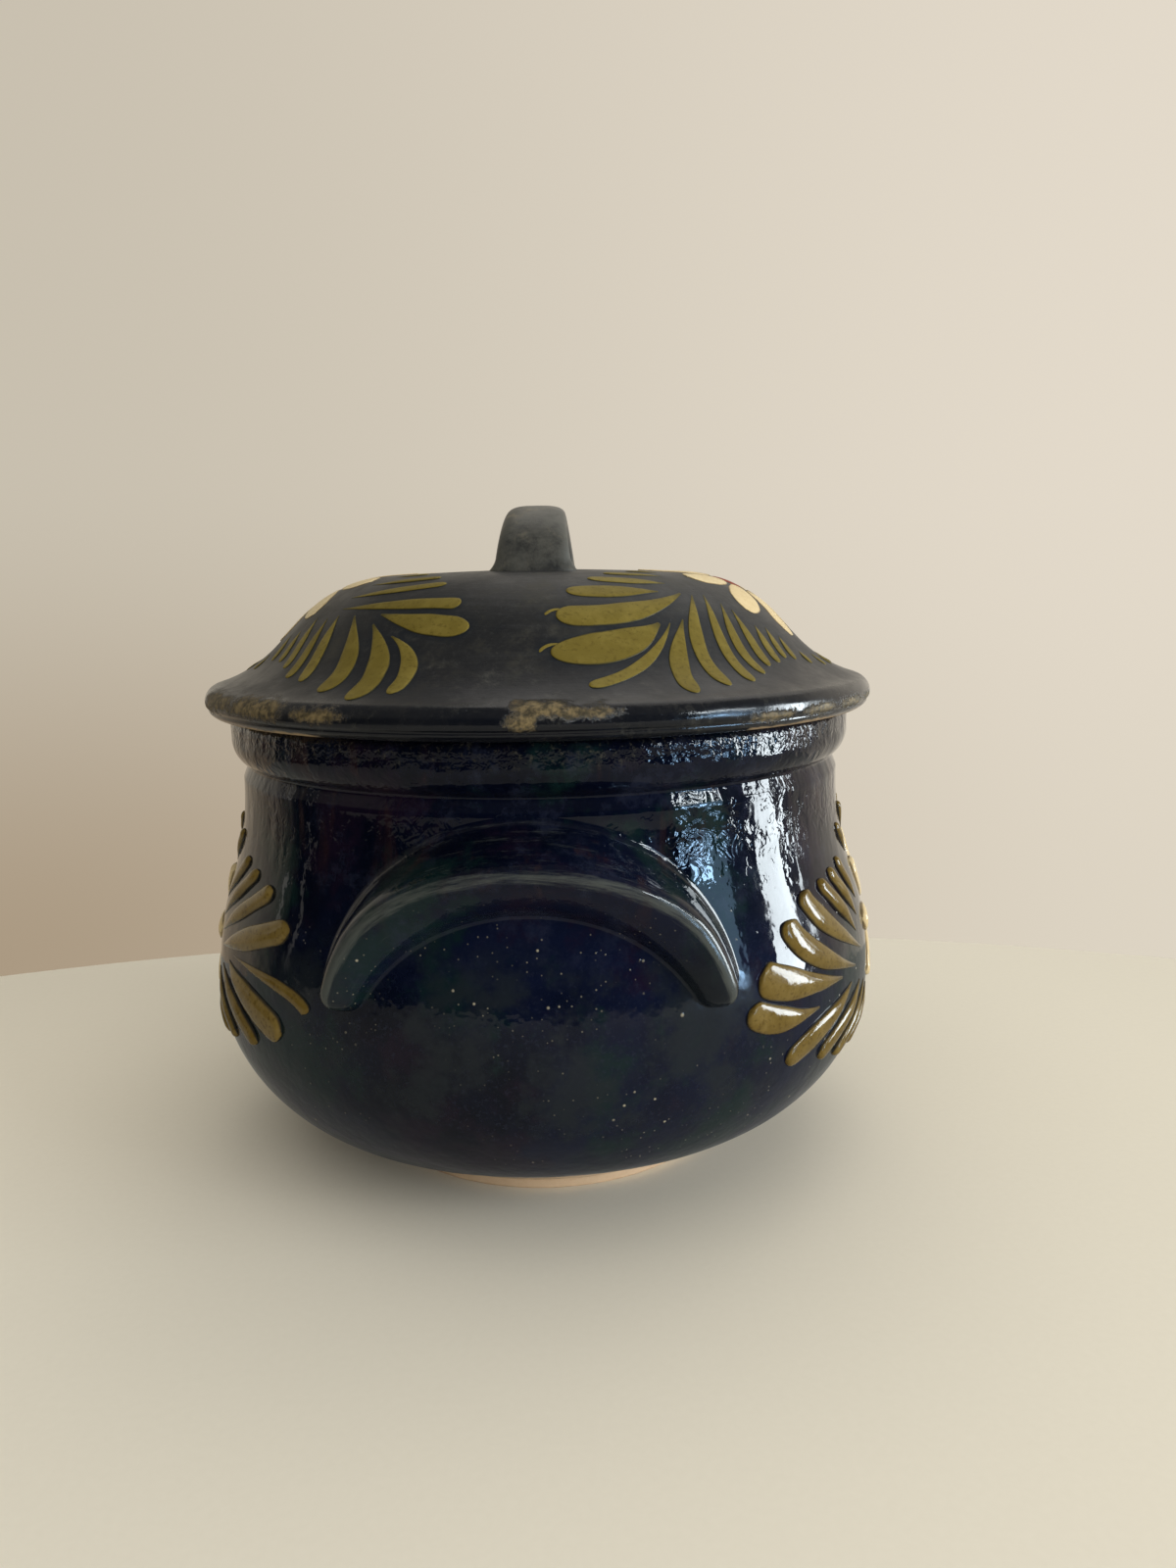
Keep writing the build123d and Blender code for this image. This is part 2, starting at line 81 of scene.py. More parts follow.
# Flowers, and the strokes of each spray: waypoints round from the flower (degrees) and up from it, then
# width, in hundredths of the lid's or the belly's radius; nine widths on the lid differ from the solids'
POT_FLOWER_CLIMB, LID_FLOWER_DISTANCE = 11.5, 58.0
PETALS, PETAL_START, PETAL_END, PETAL_WIDTH, PETAL_ANGLE = 9, 7.5, 27.0, 8.5, 7.0
CENTRE_RADIUS = 5.0
LID_RIGHT = [
    ((35, 8.5), (45, 12.5), 2.4), ((38, 4), (56, 8.5), 2.9), ((42, -2), (63, 3), 4.3),
    ((47, -6.5), (70, -5), 6.2), ((41, -7.5), (57, -14.5), (73, -15), 7.6),
    ((52, -19), (62, -25.5), (74.5, -27.5), 10.5), ((49.5, -19), (59, -32.5), (69, -40), 3.6),
    ((46, -18), (52, -32.5), (53, -45.5), 5.4), ((38, -8.5), (45.5, -25.5), (46, -43), 4.5),
    ((34, -8.5), (39.5, -25), (40.5, -42), 3.7), ((31, -12.5), (35.5, -25.5), (36, -39), 3.6),
    ((29, -15), (32.5, -36), 3.6), ((25, -21), (28.5, -35), 3.4), ((21, -22), (24.5, -33.5), 3.0),
    ((18, -25.5), (21, -34.5), 2.7), ((14.5, -31.5), (16, -37), 2.5), ((8, -33.5), (9, -39), 2.5),
    ((2, -34.5), (2.4, -40), 2.3),
]
# Small hooks of slip at the tips of two of those leaves
LID_HOOKS = [
    ((70.6, -13.3), (73.4, -13.4), (75.2, -15.2), 0.95),
    ((71.8, -24.8), (74.8, -25.3), (76.4, -27.4), 0.95),
]
LID_LEFT = [
    ((35, 7.5), (46, 11.5), 2.4), ((34, 0), (57, 5.5), 2.9), ((34, -7.5), (62, 0), 3.3),
    ((36, -12.5), (57, -10.5), (69.5, -10.5), 4.6), ((51, -14.5), (64, -18), (73, -19), 7.2),
    ((57, -22), (63.5, -30.5), (63.5, -43), 4.8), ((50.5, -18), (57.5, -31.5), (57.5, -46.5), 6.8),
    ((43, -15), (50, -30.5), (50, -43), 6.3), ((37, -15), (43, -39), 4.4), ((33, -16), (38, -38), 3.6),
    ((27.5, -16), (33, -34.5), 3.3), ((24, -21), (28, -32.5), 2.9), ((19, -23), (23, -32.5), 2.7),
    ((15, -30.5), (17.5, -37), 2.5), ((8, -33.5), (9, -39), 2.5), ((2, -34.5), (2.4, -40), 2.3),
]
POT_RIGHT = [
    ((3, 31), (5, 39.5), 2.8), ((8.5, 29), (12.5, 38.5), 3.0), ((15, 24.5), (20.5, 34.5), 3.2),
    ((19.5, 12), (26, 26.5), 3.6), ((22, 8), (31, 25), 4.1), ((24.5, 4.5), (36, 23.5), 4.9),
    ((23, -1), (36, 11.5), (42, 22.5), 7.0), ((27.5, -4), (42, 6.5), (47.5, 17), 8.0),
    ((34, -4), (48, 1), (55, 5.5), 9.4), ((42, -8), (52, -6.5), (57.5, -2), 8.0),
    ((30, -7.5), (50, -19), 6.6), ((25, -9.5), (41, -23), 5.3), ((21, -11.5), (34.5, -26.5), 4.5),
    ((17, -15), (27, -28), 3.8), ((12.5, -24.5), (18, -34.5), 3.2), ((5, -31), (7, -39.5), 2.8),
]
POT_LEFT = [
    ((3, 31), (5, 39.5), 2.8), ((10, 29), (15, 38.5), 3.0), ((16, 24.5), (23, 35.5), 3.2),
    ((18, 14), (31, 30), 3.6), ((20, 9.5), (36.5, 28), 4.1), ((23, 6.5), (43, 25), 5.3),
    ((25, 3), (50, 17), 7.0), ((33, 3.5), (49, 2.5), (56, -2), 3.6), ((30.5, 1), (50, -10), 8.5),
    ((26, -2), (42.5, -16), 5.6), ((21, -5.5), (33, -19.5), 4.1), ((17.5, -13), (25, -23.5), 3.6),
    ((12, -25.5), (16, -34), 3.0), ((5, -31), (7, -39.5), 2.8),
]

# Mesh steps of strokes, lugs and strap
STROKE_STEPS, STROKE_ACROSS, LENGTH_STEPS = 34, 15, 12
LUG_STEPS, LUG_END_STEPS, LUG_SECTION_STEPS = 130, 12, 5
STRAP_STEPS, STRAP_AROUND = 150, 48
# How far the edges of strokes and flower centres sink
SLIP_SINK, CENTRE_SINK = 0.4, 0.5
# Where a lug's ridge is rubbed across its section, and how the strap's feet spread
RIDGE_LIE, RIDGE_HALF = -0.08, 0.24
SPREAD_HEIGHT, SPREAD_WIDTH, SPREAD_THICKNESS = 3.5, 1.6, 1.0
# Where the walls' waver starts or ends, in height or radius, and over what length it fades
WALL_START, WALL_END, COLLAR_START, COLLAR_END = (4, 12), (138, 8), (133, 3), (141.2, 2)
LID_START, LID_START_RADIUS = (143, 6), (10, 40)
# Points nearer than this are one
SAME_POINT = 1e-4


# Profiles as arrays of radius and height
def arc(centre, radius, start, end, step=1.0):
    """Points along an arc, in degrees, about one step apart."""
    count = max(int(abs(math.radians(end - start)) * radius / step), 2) + 1
    turn = np.radians(np.linspace(start, end, count))
    return np.c_[centre[0] + radius * np.cos(turn), centre[1] + radius * np.sin(turn)]


def run(start, end, step=1.0):
    """Points along a straight line, about one step apart."""
    start, end = np.array(start, float), np.array(end, float)
    count = max(int(np.linalg.norm(end - start) / step), 1) + 1
    return start + np.linspace(0, 1, count)[:, None] * (end - start)


def chain(*pieces):
    """One line from pieces that meet end to end."""
    points = np.concatenate(pieces)
    keep = np.r_[True, np.linalg.norm(np.diff(points, axis=0), axis=1) > SAME_POINT]
    return points[keep]


def wall_profile(inset=0.0):
    """The pot's flare, belly and shoulder from the foot to the neck."""
    flare = math.radians(FLARE)
    curve = (BELLY_HEIGHT - FOOT_HEIGHT - math.tan(flare) * FOOT_INSET) / (
        math.cos(flare) - math.tan(flare) * (1 - math.sin(flare)))
    shoulder = (NECK_INSET ** 2 + NECK_RISE ** 2) / (4 * NECK_INSET)
    turn = math.degrees(math.asin(NECK_RISE / 2 / shoulder))
    foot = (FOOT_RADIUS - inset * math.sin(flare), FOOT_HEIGHT + inset * math.cos(flare))
    belly = arc((BELLY_RADIUS - curve, BELLY_HEIGHT), curve - inset, FLARE - 90, 0)
    return chain(
        run(foot, belly[0]), belly, arc((BELLY_RADIUS - shoulder, BELLY_HEIGHT), shoulder - inset, 0, turn),
        arc((NECK_RADIUS + shoulder, NECK_HEIGHT), shoulder + inset, 180 + turn, 180))


def lid_profile(inset=0.0):
    """The lid's hollow brim, cone, rounded shoulder and crown, from the brim to the axis."""
    def onward(start, heading, radius, turn):
        side = -1 if turn < 0 else 1
        centre = start + side * radius * np.array([-math.sin(heading), math.cos(heading)])
        first = math.degrees(math.atan2(*(start - centre)[::-1]))
        return arc(centre, radius, first, first + turn)

    slope = math.radians(BRIM_ANGLE)
    start = np.array([LID_RADIUS - LID_EDGE, RIM_HEIGHT + LID_EDGE]) + (LID_EDGE - inset) * np.array(
        [math.sin(slope), math.cos(slope)])
    brim = onward(start, math.pi - slope, BRIM_RADIUS + inset, BRIM_ANGLE - CONE_ANGLE)
    ahead = math.pi - math.radians(CONE_ANGLE)
    cone = run(brim[-1], brim[-1] + CONE_LENGTH * np.array([math.cos(ahead), math.sin(ahead)]))
    shoulder = onward(cone[-1], ahead, SHOULDER_RADIUS - inset, CONE_ANGLE - CROWN_ANGLE)
    crown = onward(shoulder[-1], math.pi - math.radians(CROWN_ANGLE),
                   shoulder[-1][0] / math.sin(math.radians(CROWN_ANGLE)), CROWN_ANGLE)
    crown[-1][0] = 0.0
    return chain(brim, cone, shoulder, crown)


def pot_outline():
    """The whole pot in section: under the foot, up the outside, over the rim and down the inside."""
    outside, inside = wall_profile(), wall_profile(WALL)[::-1]
    foot_round = arc((FOOT_RADIUS - FOOT_ROUND, FOOT_ROUND), FOOT_ROUND, -90, 0, 0.4)
    swell_top = np.array([COLLAR_RADIUS, CREASE_HEIGHT + COLLAR_SWELL])
    crease = np.array([CREASE_RADIUS, CREASE_HEIGHT])
    half = swell_top - crease
    swell_radius = (half @ half) / (2 * half[0])
    swell_turn = math.degrees(math.asin(half[1] / swell_radius))
    swell = arc((swell_top[0] - swell_radius, swell_top[1]), swell_radius, -swell_turn, 0, 0.7)
    floor_edge = inside[-1][0] + (FLOOR - inside[-1][1]) / math.tan(math.radians(FLARE))
    return chain(
        run((0, 0), foot_round[0], 3), foot_round,
        run(foot_round[-1], (FOOT_RADIUS, FOOT_HEIGHT), 0.5), outside,
        run(outside[-1], crease, 0.6), swell,
        run(swell_top, (COLLAR_RADIUS, RIM_HEIGHT - RIM_OUTER), 0.7),
        arc((COLLAR_RADIUS - RIM_OUTER, RIM_HEIGHT - RIM_OUTER), RIM_OUTER, 0, 90, 0.4),
        run((COLLAR_RADIUS - RIM_OUTER, RIM_HEIGHT), (MOUTH_RADIUS + RIM_INNER, RIM_HEIGHT)),
        arc((MOUTH_RADIUS + RIM_INNER, RIM_HEIGHT - RIM_INNER), RIM_INNER, 90, 180, 0.4),
        run((MOUTH_RADIUS, RIM_HEIGHT - RIM_INNER), (MOUTH_RADIUS, NECK_HEIGHT), 2), inside,
        [(floor_edge, FLOOR)], run((floor_edge, FLOOR), (0, FLOOR), 3))


def lid_outline():
    """The whole lid in section: from the hollow's top under the flange, round the edge and up the crown."""
    outside, hollow = lid_profile(), lid_profile(LID_WALL)[::-1]
    inner = FLANGE_RADIUS - FLANGE_WALL
    hollow = hollow[hollow[:, 0] < inner]
    foot, edge = RIM_HEIGHT - FLANGE_DEPTH, LID_RADIUS - LID_EDGE
    low, knee = foot + FLANGE_ROUND, FLANGE_RADIUS - FLANGE_ROUND
    roll = arc((edge, RIM_HEIGHT + LID_EDGE), LID_EDGE, -90, 90 - BRIM_ANGLE, 0.3)
    # A fine groove runs round the rolled edge, under its widest line
    roll[:, 0] -= GROOVE_DEPTH * np.exp(-((roll[:, 1] - GROOVE_HEIGHT) / GROOVE_WIDTH) ** 2)
    return chain(
        hollow, run((inner, hollow[-1][1]), (inner, low), 2),
        arc((inner + FLANGE_ROUND, low), FLANGE_ROUND, 180, 270, 0.5),
        arc((knee, low), FLANGE_ROUND, 270, 360, 0.5),
        run((FLANGE_RADIUS, low), (FLANGE_RADIUS, RIM_HEIGHT), 2),
        run((FLANGE_RADIUS, RIM_HEIGHT), (edge, RIM_HEIGHT), 1.5), roll, outside)


def smooth_line(points, steps):
    """A Catmull-Rom curve through points, with so many steps between two of them."""
    points = np.array(points, float)
    padded = np.r_[points[:1], points, points[-1:]]
    t = np.linspace(0, 1, steps, endpoint=False)[:, None]
    spans = [
        0.5 * (2 * b + (c - a) * t + (2 * a - 5 * b + 4 * c - d) * t ** 2 + (3 * b - a - 3 * c + d) * t ** 3)
        for a, b, c, d in zip(padded, padded[1:], padded[2:], padded[3:])]
    return np.r_[np.concatenate(spans), points[-1:]]


class Ground:
    """A turned face that slip and handles lie on; climb runs up its meridian from a datum, in units."""

    def __init__(self, profile, datum, unit, waver):
        self.line, self.datum, self.unit, self.waver = profile, datum, unit, waver
        self.length = np.r_[0, np.cumsum(np.linalg.norm(np.diff(profile, axis=0), axis=1))]
        self.slope = np.gradient(profile, self.length, axis=0)

    def at(self, bearing, climb):
        """Points, outward normals and radii (in units) at bearings (degrees) and climbs (units)."""
        along = self.datum + np.asarray(climb, float) * self.unit
        radius, height, out, up = (
            np.interp(along, self.length, values)
            for values in (self.line[:, 0], self.line[:, 1], self.slope[:, 1], -self.slope[:, 0]))
        turn = np.radians(np.asarray(bearing, float))
        point = np.stack([radius * np.cos(turn), radius * np.sin(turn), height], -1)
        normal = np.stack([out * np.cos(turn), out * np.sin(turn), up], -1)
        normal /= np.linalg.norm(normal, axis=-1, keepdims=True)
        return point + normal * self.waver(point)[..., None], normal, radius / self.unit


def fade_in(value, start, length):
    """0 up to a start, then rising to 1 over a length."""
    return np.clip((value - start) / length, 0, 1)


def fade_out(value, end, length):
    """1 at first, then falling over a length to 0 at an end."""
    return np.clip((end - value) / length, 0, 1)


def pot_waver(points):
    """How far the hand-thrown wall strays from true, in mm."""
    turn, height = np.arctan2(points[..., 1], points[..., 0]), points[..., 2]
    slow = 0.12 * np.sin(2 * turn + 0.06 * height) + 0.09 * np.sin(5 * turn - 0.09 * height + 1.3)
    dents = 0.05 * np.sin(11 * turn + 0.13 * height + 0.4) * np.sin(0.17 * height + 3 * turn)
    collar = 0.09 * np.sin(23 * turn + 1.1) + 0.08 * np.sin(41 * turn + 2.9) + 0.06 * np.sin(67 * turn)
    top = fade_in(height, *COLLAR_START) * fade_out(height, *COLLAR_END)
    wall = (slow + dents - 0.2) * fade_in(height, *WALL_START) * fade_out(height, *WALL_END)
    return wall + (collar - 0.2) * top


def lid_waver(points):
    """How far the hand-thrown lid strays from true, in mm."""
    turn = np.arctan2(points[..., 1], points[..., 0])
    radius = np.hypot(points[..., 0], points[..., 1])
    slow = 0.10 * np.sin(3 * turn + 0.05 * radius) + 0.07 * np.sin(7 * turn + 2.0) - 0.16
    return slow * fade_in(radius, *LID_START_RADIUS) * fade_in(points[..., 2], *LID_START)


wall_line, lid_line = wall_profile(), lid_profile()
wall_length = np.r_[0, np.cumsum(np.linalg.norm(np.diff(wall_line, axis=0), axis=1))]
lid_length = np.sum(np.linalg.norm(np.diff(lid_line, axis=0), axis=1))
widest = wall_length[np.argmax(wall_line[:, 0])]
POT_UNIT, LID_UNIT = BELLY_RADIUS / 100, LID_RADIUS / 100
shoulder_ground = Ground(wall_line, widest, 1.0, pot_waver)
pot_ground = Ground(wall_line, widest + POT_FLOWER_CLIMB * POT_UNIT, POT_UNIT, pot_waver)
lid_ground = Ground(lid_line, lid_length - LID_FLOWER_DISTANCE * LID_UNIT, LID_UNIT, lid_waver)
crown_ground = Ground(lid_line, lid_length, 1.0, lid_waver)


# Meshes
def add_mesh(name, points, faces, body, node_names, look, fields=None):
    """A smooth mesh from points in mm, riding on a body in place of CAD nodes."""
    mesh = bpy.data.meshes.new(name)
    mesh.from_pydata((np.asarray(points) * MM).tolist(), [], faces)
    mesh.shade_smooth()
    for field, values in (fields or {}).items():
        numbers = np.asarray(values, np.float32)
        mesh.attributes.new(field, "FLOAT", "POINT").data.foreach_set("value", numbers)
    piece = bpy.data.objects.new(name, mesh)
    scene.collection.objects.link(piece)
    mesh.materials.append(look)
    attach(piece, body)
    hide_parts(*node_names)


def lathe(outline, around, waver):
    """Points and faces of an outline turned about Z, closed at both ends on the axis."""
    turn = np.linspace(0, 2 * math.pi, around, endpoint=False)
    rings = outline[1:-1]
    points = np.stack([
        rings[:, :1] * np.cos(turn), rings[:, :1] * np.sin(turn), np.repeat(rings[:, 1:], around, 1)], -1)
    tangent = np.gradient(rings, axis=0)
    tangent /= np.linalg.norm(tangent, axis=1, keepdims=True)
    out, up = tangent[:, 1:], -tangent[:, :1]
    normal = np.stack([out * np.cos(turn), out * np.sin(turn), np.repeat(up, around, 1)], -1)
    points = (points + normal * waver(points, out)[..., None]).reshape(-1, 3)
    ends = [(0, 0, outline[0][1]), (0, 0, outline[-1][1])]
    index = np.arange(len(rings) * around).reshape(len(rings), around)
    after = np.roll(index, -1, 1)
    quads = np.stack([index[:-1], after[:-1], after[1:], index[1:]], -1).reshape(-1, 4).tolist()
    first, last = len(points), len(points) + 1
    caps = [(first, b, a) for a, b in zip(index[0].tolist(), after[0].tolist())]
    caps += [(last, a, b) for a, b in zip(index[-1].tolist(), after[-1].tolist())]
    return np.r_[points, ends], quads + caps


def stroke_chart(ground, bearing, side, waypoints, u, v, width):
    """Bearings and climbs of a grid laid along a stroke, u along it and v across it."""
    root, tip = np.array(waypoints[0], float), np.array(waypoints[-1], float)
    middle = np.array(waypoints[1], float) if len(waypoints) > 2 else (root + tip) / 2
    pull = 2 * middle - (root + tip) / 2
    u = u[:, None]
    path = root * (1 - u) ** 2 + pull * 2 * u * (1 - u) + tip * u ** 2
    heading = 2 * (1 - u) * (pull - root) + 2 * u * (tip - pull)
    radius = ground.at(bearing + side * path[:, 0], path[:, 1])[2]
    heading[:, 0] *= np.radians(radius)
    heading /= np.linalg.norm(heading, axis=1, keepdims=True)
    across = np.c_[-heading[:, 1], heading[:, 0]]
    offset = width[:, None] * v[None, :]
    turn = path[:, :1] + np.degrees(across[:, :1] * offset / radius[:, None])
    return bearing + side * turn, path[:, 1:] + across[:, 1:] * offset


def stroke_length(ground, bearing, waypoints):
    """How long a stroke's path is, in mm."""
    u = np.linspace(0, 1, LENGTH_STEPS)
    turn, climb = stroke_chart(ground, bearing, 1, waypoints, u, np.zeros(1), np.zeros_like(u))
    return np.linalg.norm(np.diff(ground.at(turn[:, 0], climb[:, 0])[0], axis=0), axis=1).sum()


def grid_faces(index, flip):
    """Quads over a grid of point numbers."""
    corners = [index[:-1, :-1], index[:-1, 1:], index[1:, 1:], index[1:, :-1]]
    return np.stack(corners[::-1] if flip else corners, -1).reshape(-1, 4)


def slip_stroke(ground, bearing, side, waypoints, width, style, petal):
    """Points, faces and fields of one trailed stroke: slim at its root, full and rounded towards its tip."""
    length = stroke_length(ground, bearing, waypoints)
    half = (style["petal"] if petal else 1.0) * width / 2 * ground.unit
    u = 0.5 - 0.5 * np.cos(np.linspace(0, math.pi, STROKE_STEPS))
    v = np.sin(np.linspace(-math.pi / 2, math.pi / 2, STROKE_ACROSS))
    # Half width: rising from the root, rounded at both ends and wandering a little
    blunt = rng.uniform(*style["blunt"])
    rise = np.clip(u / (0.78 - 0.1 * blunt), 0, 1)
    root = 0.4 if petal else 0.1
    full = root + (1 - root) * np.sin(rise * math.pi / 2) ** (0.9 if petal else 1.3)
    tip, base = min(blunt * half / length, 0.36), min(0.5 * root * half / length, 0.1)
    full *= np.sqrt(np.clip(1 - np.clip((u - 1 + tip) / tip, 0, 1) ** 2, 0, 1))
    full *= np.sqrt(np.clip(1 - np.clip((base - u) / base, 0, 1) ** 2, 0, 1))
    full *= 1 + 0.03 * np.sin(9 * u + rng.uniform(0, 6)) + 0.015 * np.sin(19 * u + rng.uniform(0, 6))
    reach = np.maximum(half * full, 0.02)
    turn, climb = stroke_chart(ground, bearing, side, waypoints, u, v, reach / ground.unit)
    point, normal, _ = ground.at(turn, climb)
    # Height: domed across, uneven along, and sunk at the edge
    proud = np.minimum(style["relief"], style["slim"] * reach)[:, None]
    crown = (1 - np.abs(v) ** style["round"])[None, :] ** 0.5
    sink = -SLIP_SINK * (np.abs(v) > 0.999)[None, :]
    pool = 0.9 + 0.1 * np.sin(4 * u + rng.uniform(0, 6))
    lift = proud * crown * pool[:, None] + sink
    lift[[0, -1]] = -SLIP_SINK
    points = (point + normal * lift[..., None]).reshape(-1, 3)
    faces = grid_faces(np.arange(len(u) * len(v)).reshape(len(u), len(v)), side > 0)
    edge = np.abs(np.repeat(v[None, :], len(u), 0)).ravel()
    fields = {"edge": edge, "along": np.repeat(u, len(v)), "tone": np.full(len(points), rng.uniform())}
    return points, faces, fields


def join(strokes):
    """Several strokes as one set of points, faces and fields."""
    points, faces, fields, start = [], [], {}, 0
    for stroke_points, stroke_faces, stroke_fields in strokes:
        points.append(stroke_points)
        faces += (stroke_faces + start).tolist()
        start += len(stroke_points)
        for name, values in stroke_fields.items():
            fields.setdefault(name, []).append(values)
    return np.concatenate(points), faces, {name: np.concatenate(values) for name, values in fields.items()}


def petal_path(ground, turn):
    """A petal's root and tip about the flower."""
    radius = ground.at(0, 0)[2]
    return [(math.degrees(r * math.cos(math.radians(turn)) / radius), r * math.sin(math.radians(turn)))
            for r in (PETAL_START, PETAL_END)]


def flower_centre(ground, bearing, relief):
    """A low dome of slip at the middle of a flower."""
    rings, around = 9, 28
    share = np.linspace(0, 1, rings)[:, None]
    turn = np.linspace(0, 2 * math.pi, around, endpoint=False)[None, :]
    reach = CENTRE_RADIUS * share * (1 + 0.05 * np.sin(3 * turn + 1) + 0.03 * np.sin(5 * turn))
    radius = ground.at(0, 0)[2]
    point, normal, _ = ground.at(bearing + np.degrees(reach * np.cos(turn) / radius), reach * np.sin(turn))
    lift = relief * (1 - share ** 2.4) ** 0.6 * np.ones_like(turn) - CENTRE_SINK * (share > 0.999)
    points = (point + normal * lift[..., None]).reshape(-1, 3)
    index = np.arange(rings * around).reshape(rings, around)
    faces = grid_faces(np.c_[index, index[:, :1]], True)
    fields = {
        "edge": np.repeat(share, around), "along": np.ones(len(points)), "tone": np.full(len(points), 0.5)}
    return points, faces, fields


def lug(bearing):
    """Points, faces and fields of one lug: a roll arched over the shoulder and feathered into the wall."""
    ends = 1 + (LUG_END - 1) * np.sin(np.linspace(0, math.pi / 2, LUG_END_STEPS))
    share = np.r_[-ends[:0:-1], np.linspace(-1, 1, LUG_STEPS), ends[1:]]
    past = np.clip((np.abs(share) - 1) / (LUG_END - 1), 0, 1)
    close, fade = np.sqrt(1 - past ** 2), np.minimum(share ** 2, 1)
    half = close * (LUG_HALF + (LUG_TIP_HALF - LUG_HALF) * fade)
    reach = close * (LUG_REACH + (LUG_TIP_REACH - LUG_REACH) * fade)
    across, out = smooth_line(LUG_SECTION, LUG_SECTION_STEPS).T
    turn = np.radians(LUG_SWEEP * share)[:, None]
    away = LUG_ARC + half[:, None] * across
    climb = LUG_CLIMB + away * np.cos(turn)
    radius = shoulder_ground.at(0, climb)[2]
    point, normal, _ = shoulder_ground.at(bearing + np.degrees(away * np.sin(turn) / radius), climb)
    ripple = 1 + 0.012 * np.sin(9 * share + 1)[:, None] * np.sin(3 * across)[None, :]
    points = (point + normal * (reach[:, None] * out * ripple)[..., None]).reshape(-1, 3)
    faces = grid_faces(np.arange(len(share) * len(across)).reshape(len(share), -1), False)
    ridge = np.exp(-(np.abs(across - RIDGE_LIE) / RIDGE_HALF) ** 3)[None, :] * (0.62 + 0.3 * fade)[:, None]
    rub = np.maximum(ridge, np.where(across > 0, 0.33, 0.22)[None, :])
    sweep, lie = np.broadcast_arrays(share[:, None], across[None, :])
    return points, faces, {"rub": rub.ravel(), "sweep": sweep.ravel(), "lie": lie.ravel()}


def strap():
    """Points, faces and fields of the lid's strap: a band arched over the crown, spread at its feet."""
    top = crown_ground.at(90, 0)[0][2] + STRAP_RISE
    base = crown_ground.at(90, -STRAP_SPAN / 2)[0][2]
    rise = top - base
    turn = np.radians(np.linspace(-STRAP_TUCK, 180 + STRAP_TUCK, STRAP_STEPS))
    half = STRAP_THICKNESS / 2
    long, tall = STRAP_SPAN / 2 - half, rise - half
    middle = np.stack([0 * turn, -long * np.cos(turn), base + tall * np.sin(turn)], -1)
    out = np.stack([0 * turn, -tall * np.cos(turn), long * np.sin(turn)], -1)
    out /= np.linalg.norm(out, axis=1, keepdims=True)
    level = np.clip((middle[:, 2] - base) / rise, -0.3, 1)
    spread = np.clip(1 - (middle[:, 2] - base) / SPREAD_HEIGHT, 0, 1) ** 2
    wide = (STRAP_FOOT + (STRAP_TOP - STRAP_FOOT) * level) / 2 + SPREAD_WIDTH * spread
    thick = half + SPREAD_THICKNESS * spread
    around = np.linspace(0, 2 * math.pi, STRAP_AROUND, endpoint=False)
    across = np.sign(np.cos(around)) * np.abs(np.cos(around)) ** 0.55
    through = np.sign(np.sin(around)) * np.abs(np.sin(around)) ** 0.75
    pulled = 1 - 0.05 * np.abs(across) ** 2 * (through > 0)
    points = middle[:, None] + out[:, None] * (thick[:, None] * through * pulled)[..., None]
    points[..., 0] += wide[:, None] * across
    index = np.arange(len(turn) * len(around)).reshape(len(turn), -1)
    faces = grid_faces(np.c_[index, index[:, :1]], True)
    edge = np.abs(across) ** 6 * 0.5
    rub = np.clip(level, 0, 1)[:, None] ** 2 * 0.55 + 0.3 + edge[None, :]
    return points.reshape(-1, 3), faces, {"rub": (rub * (through > -0.5)).ravel()}


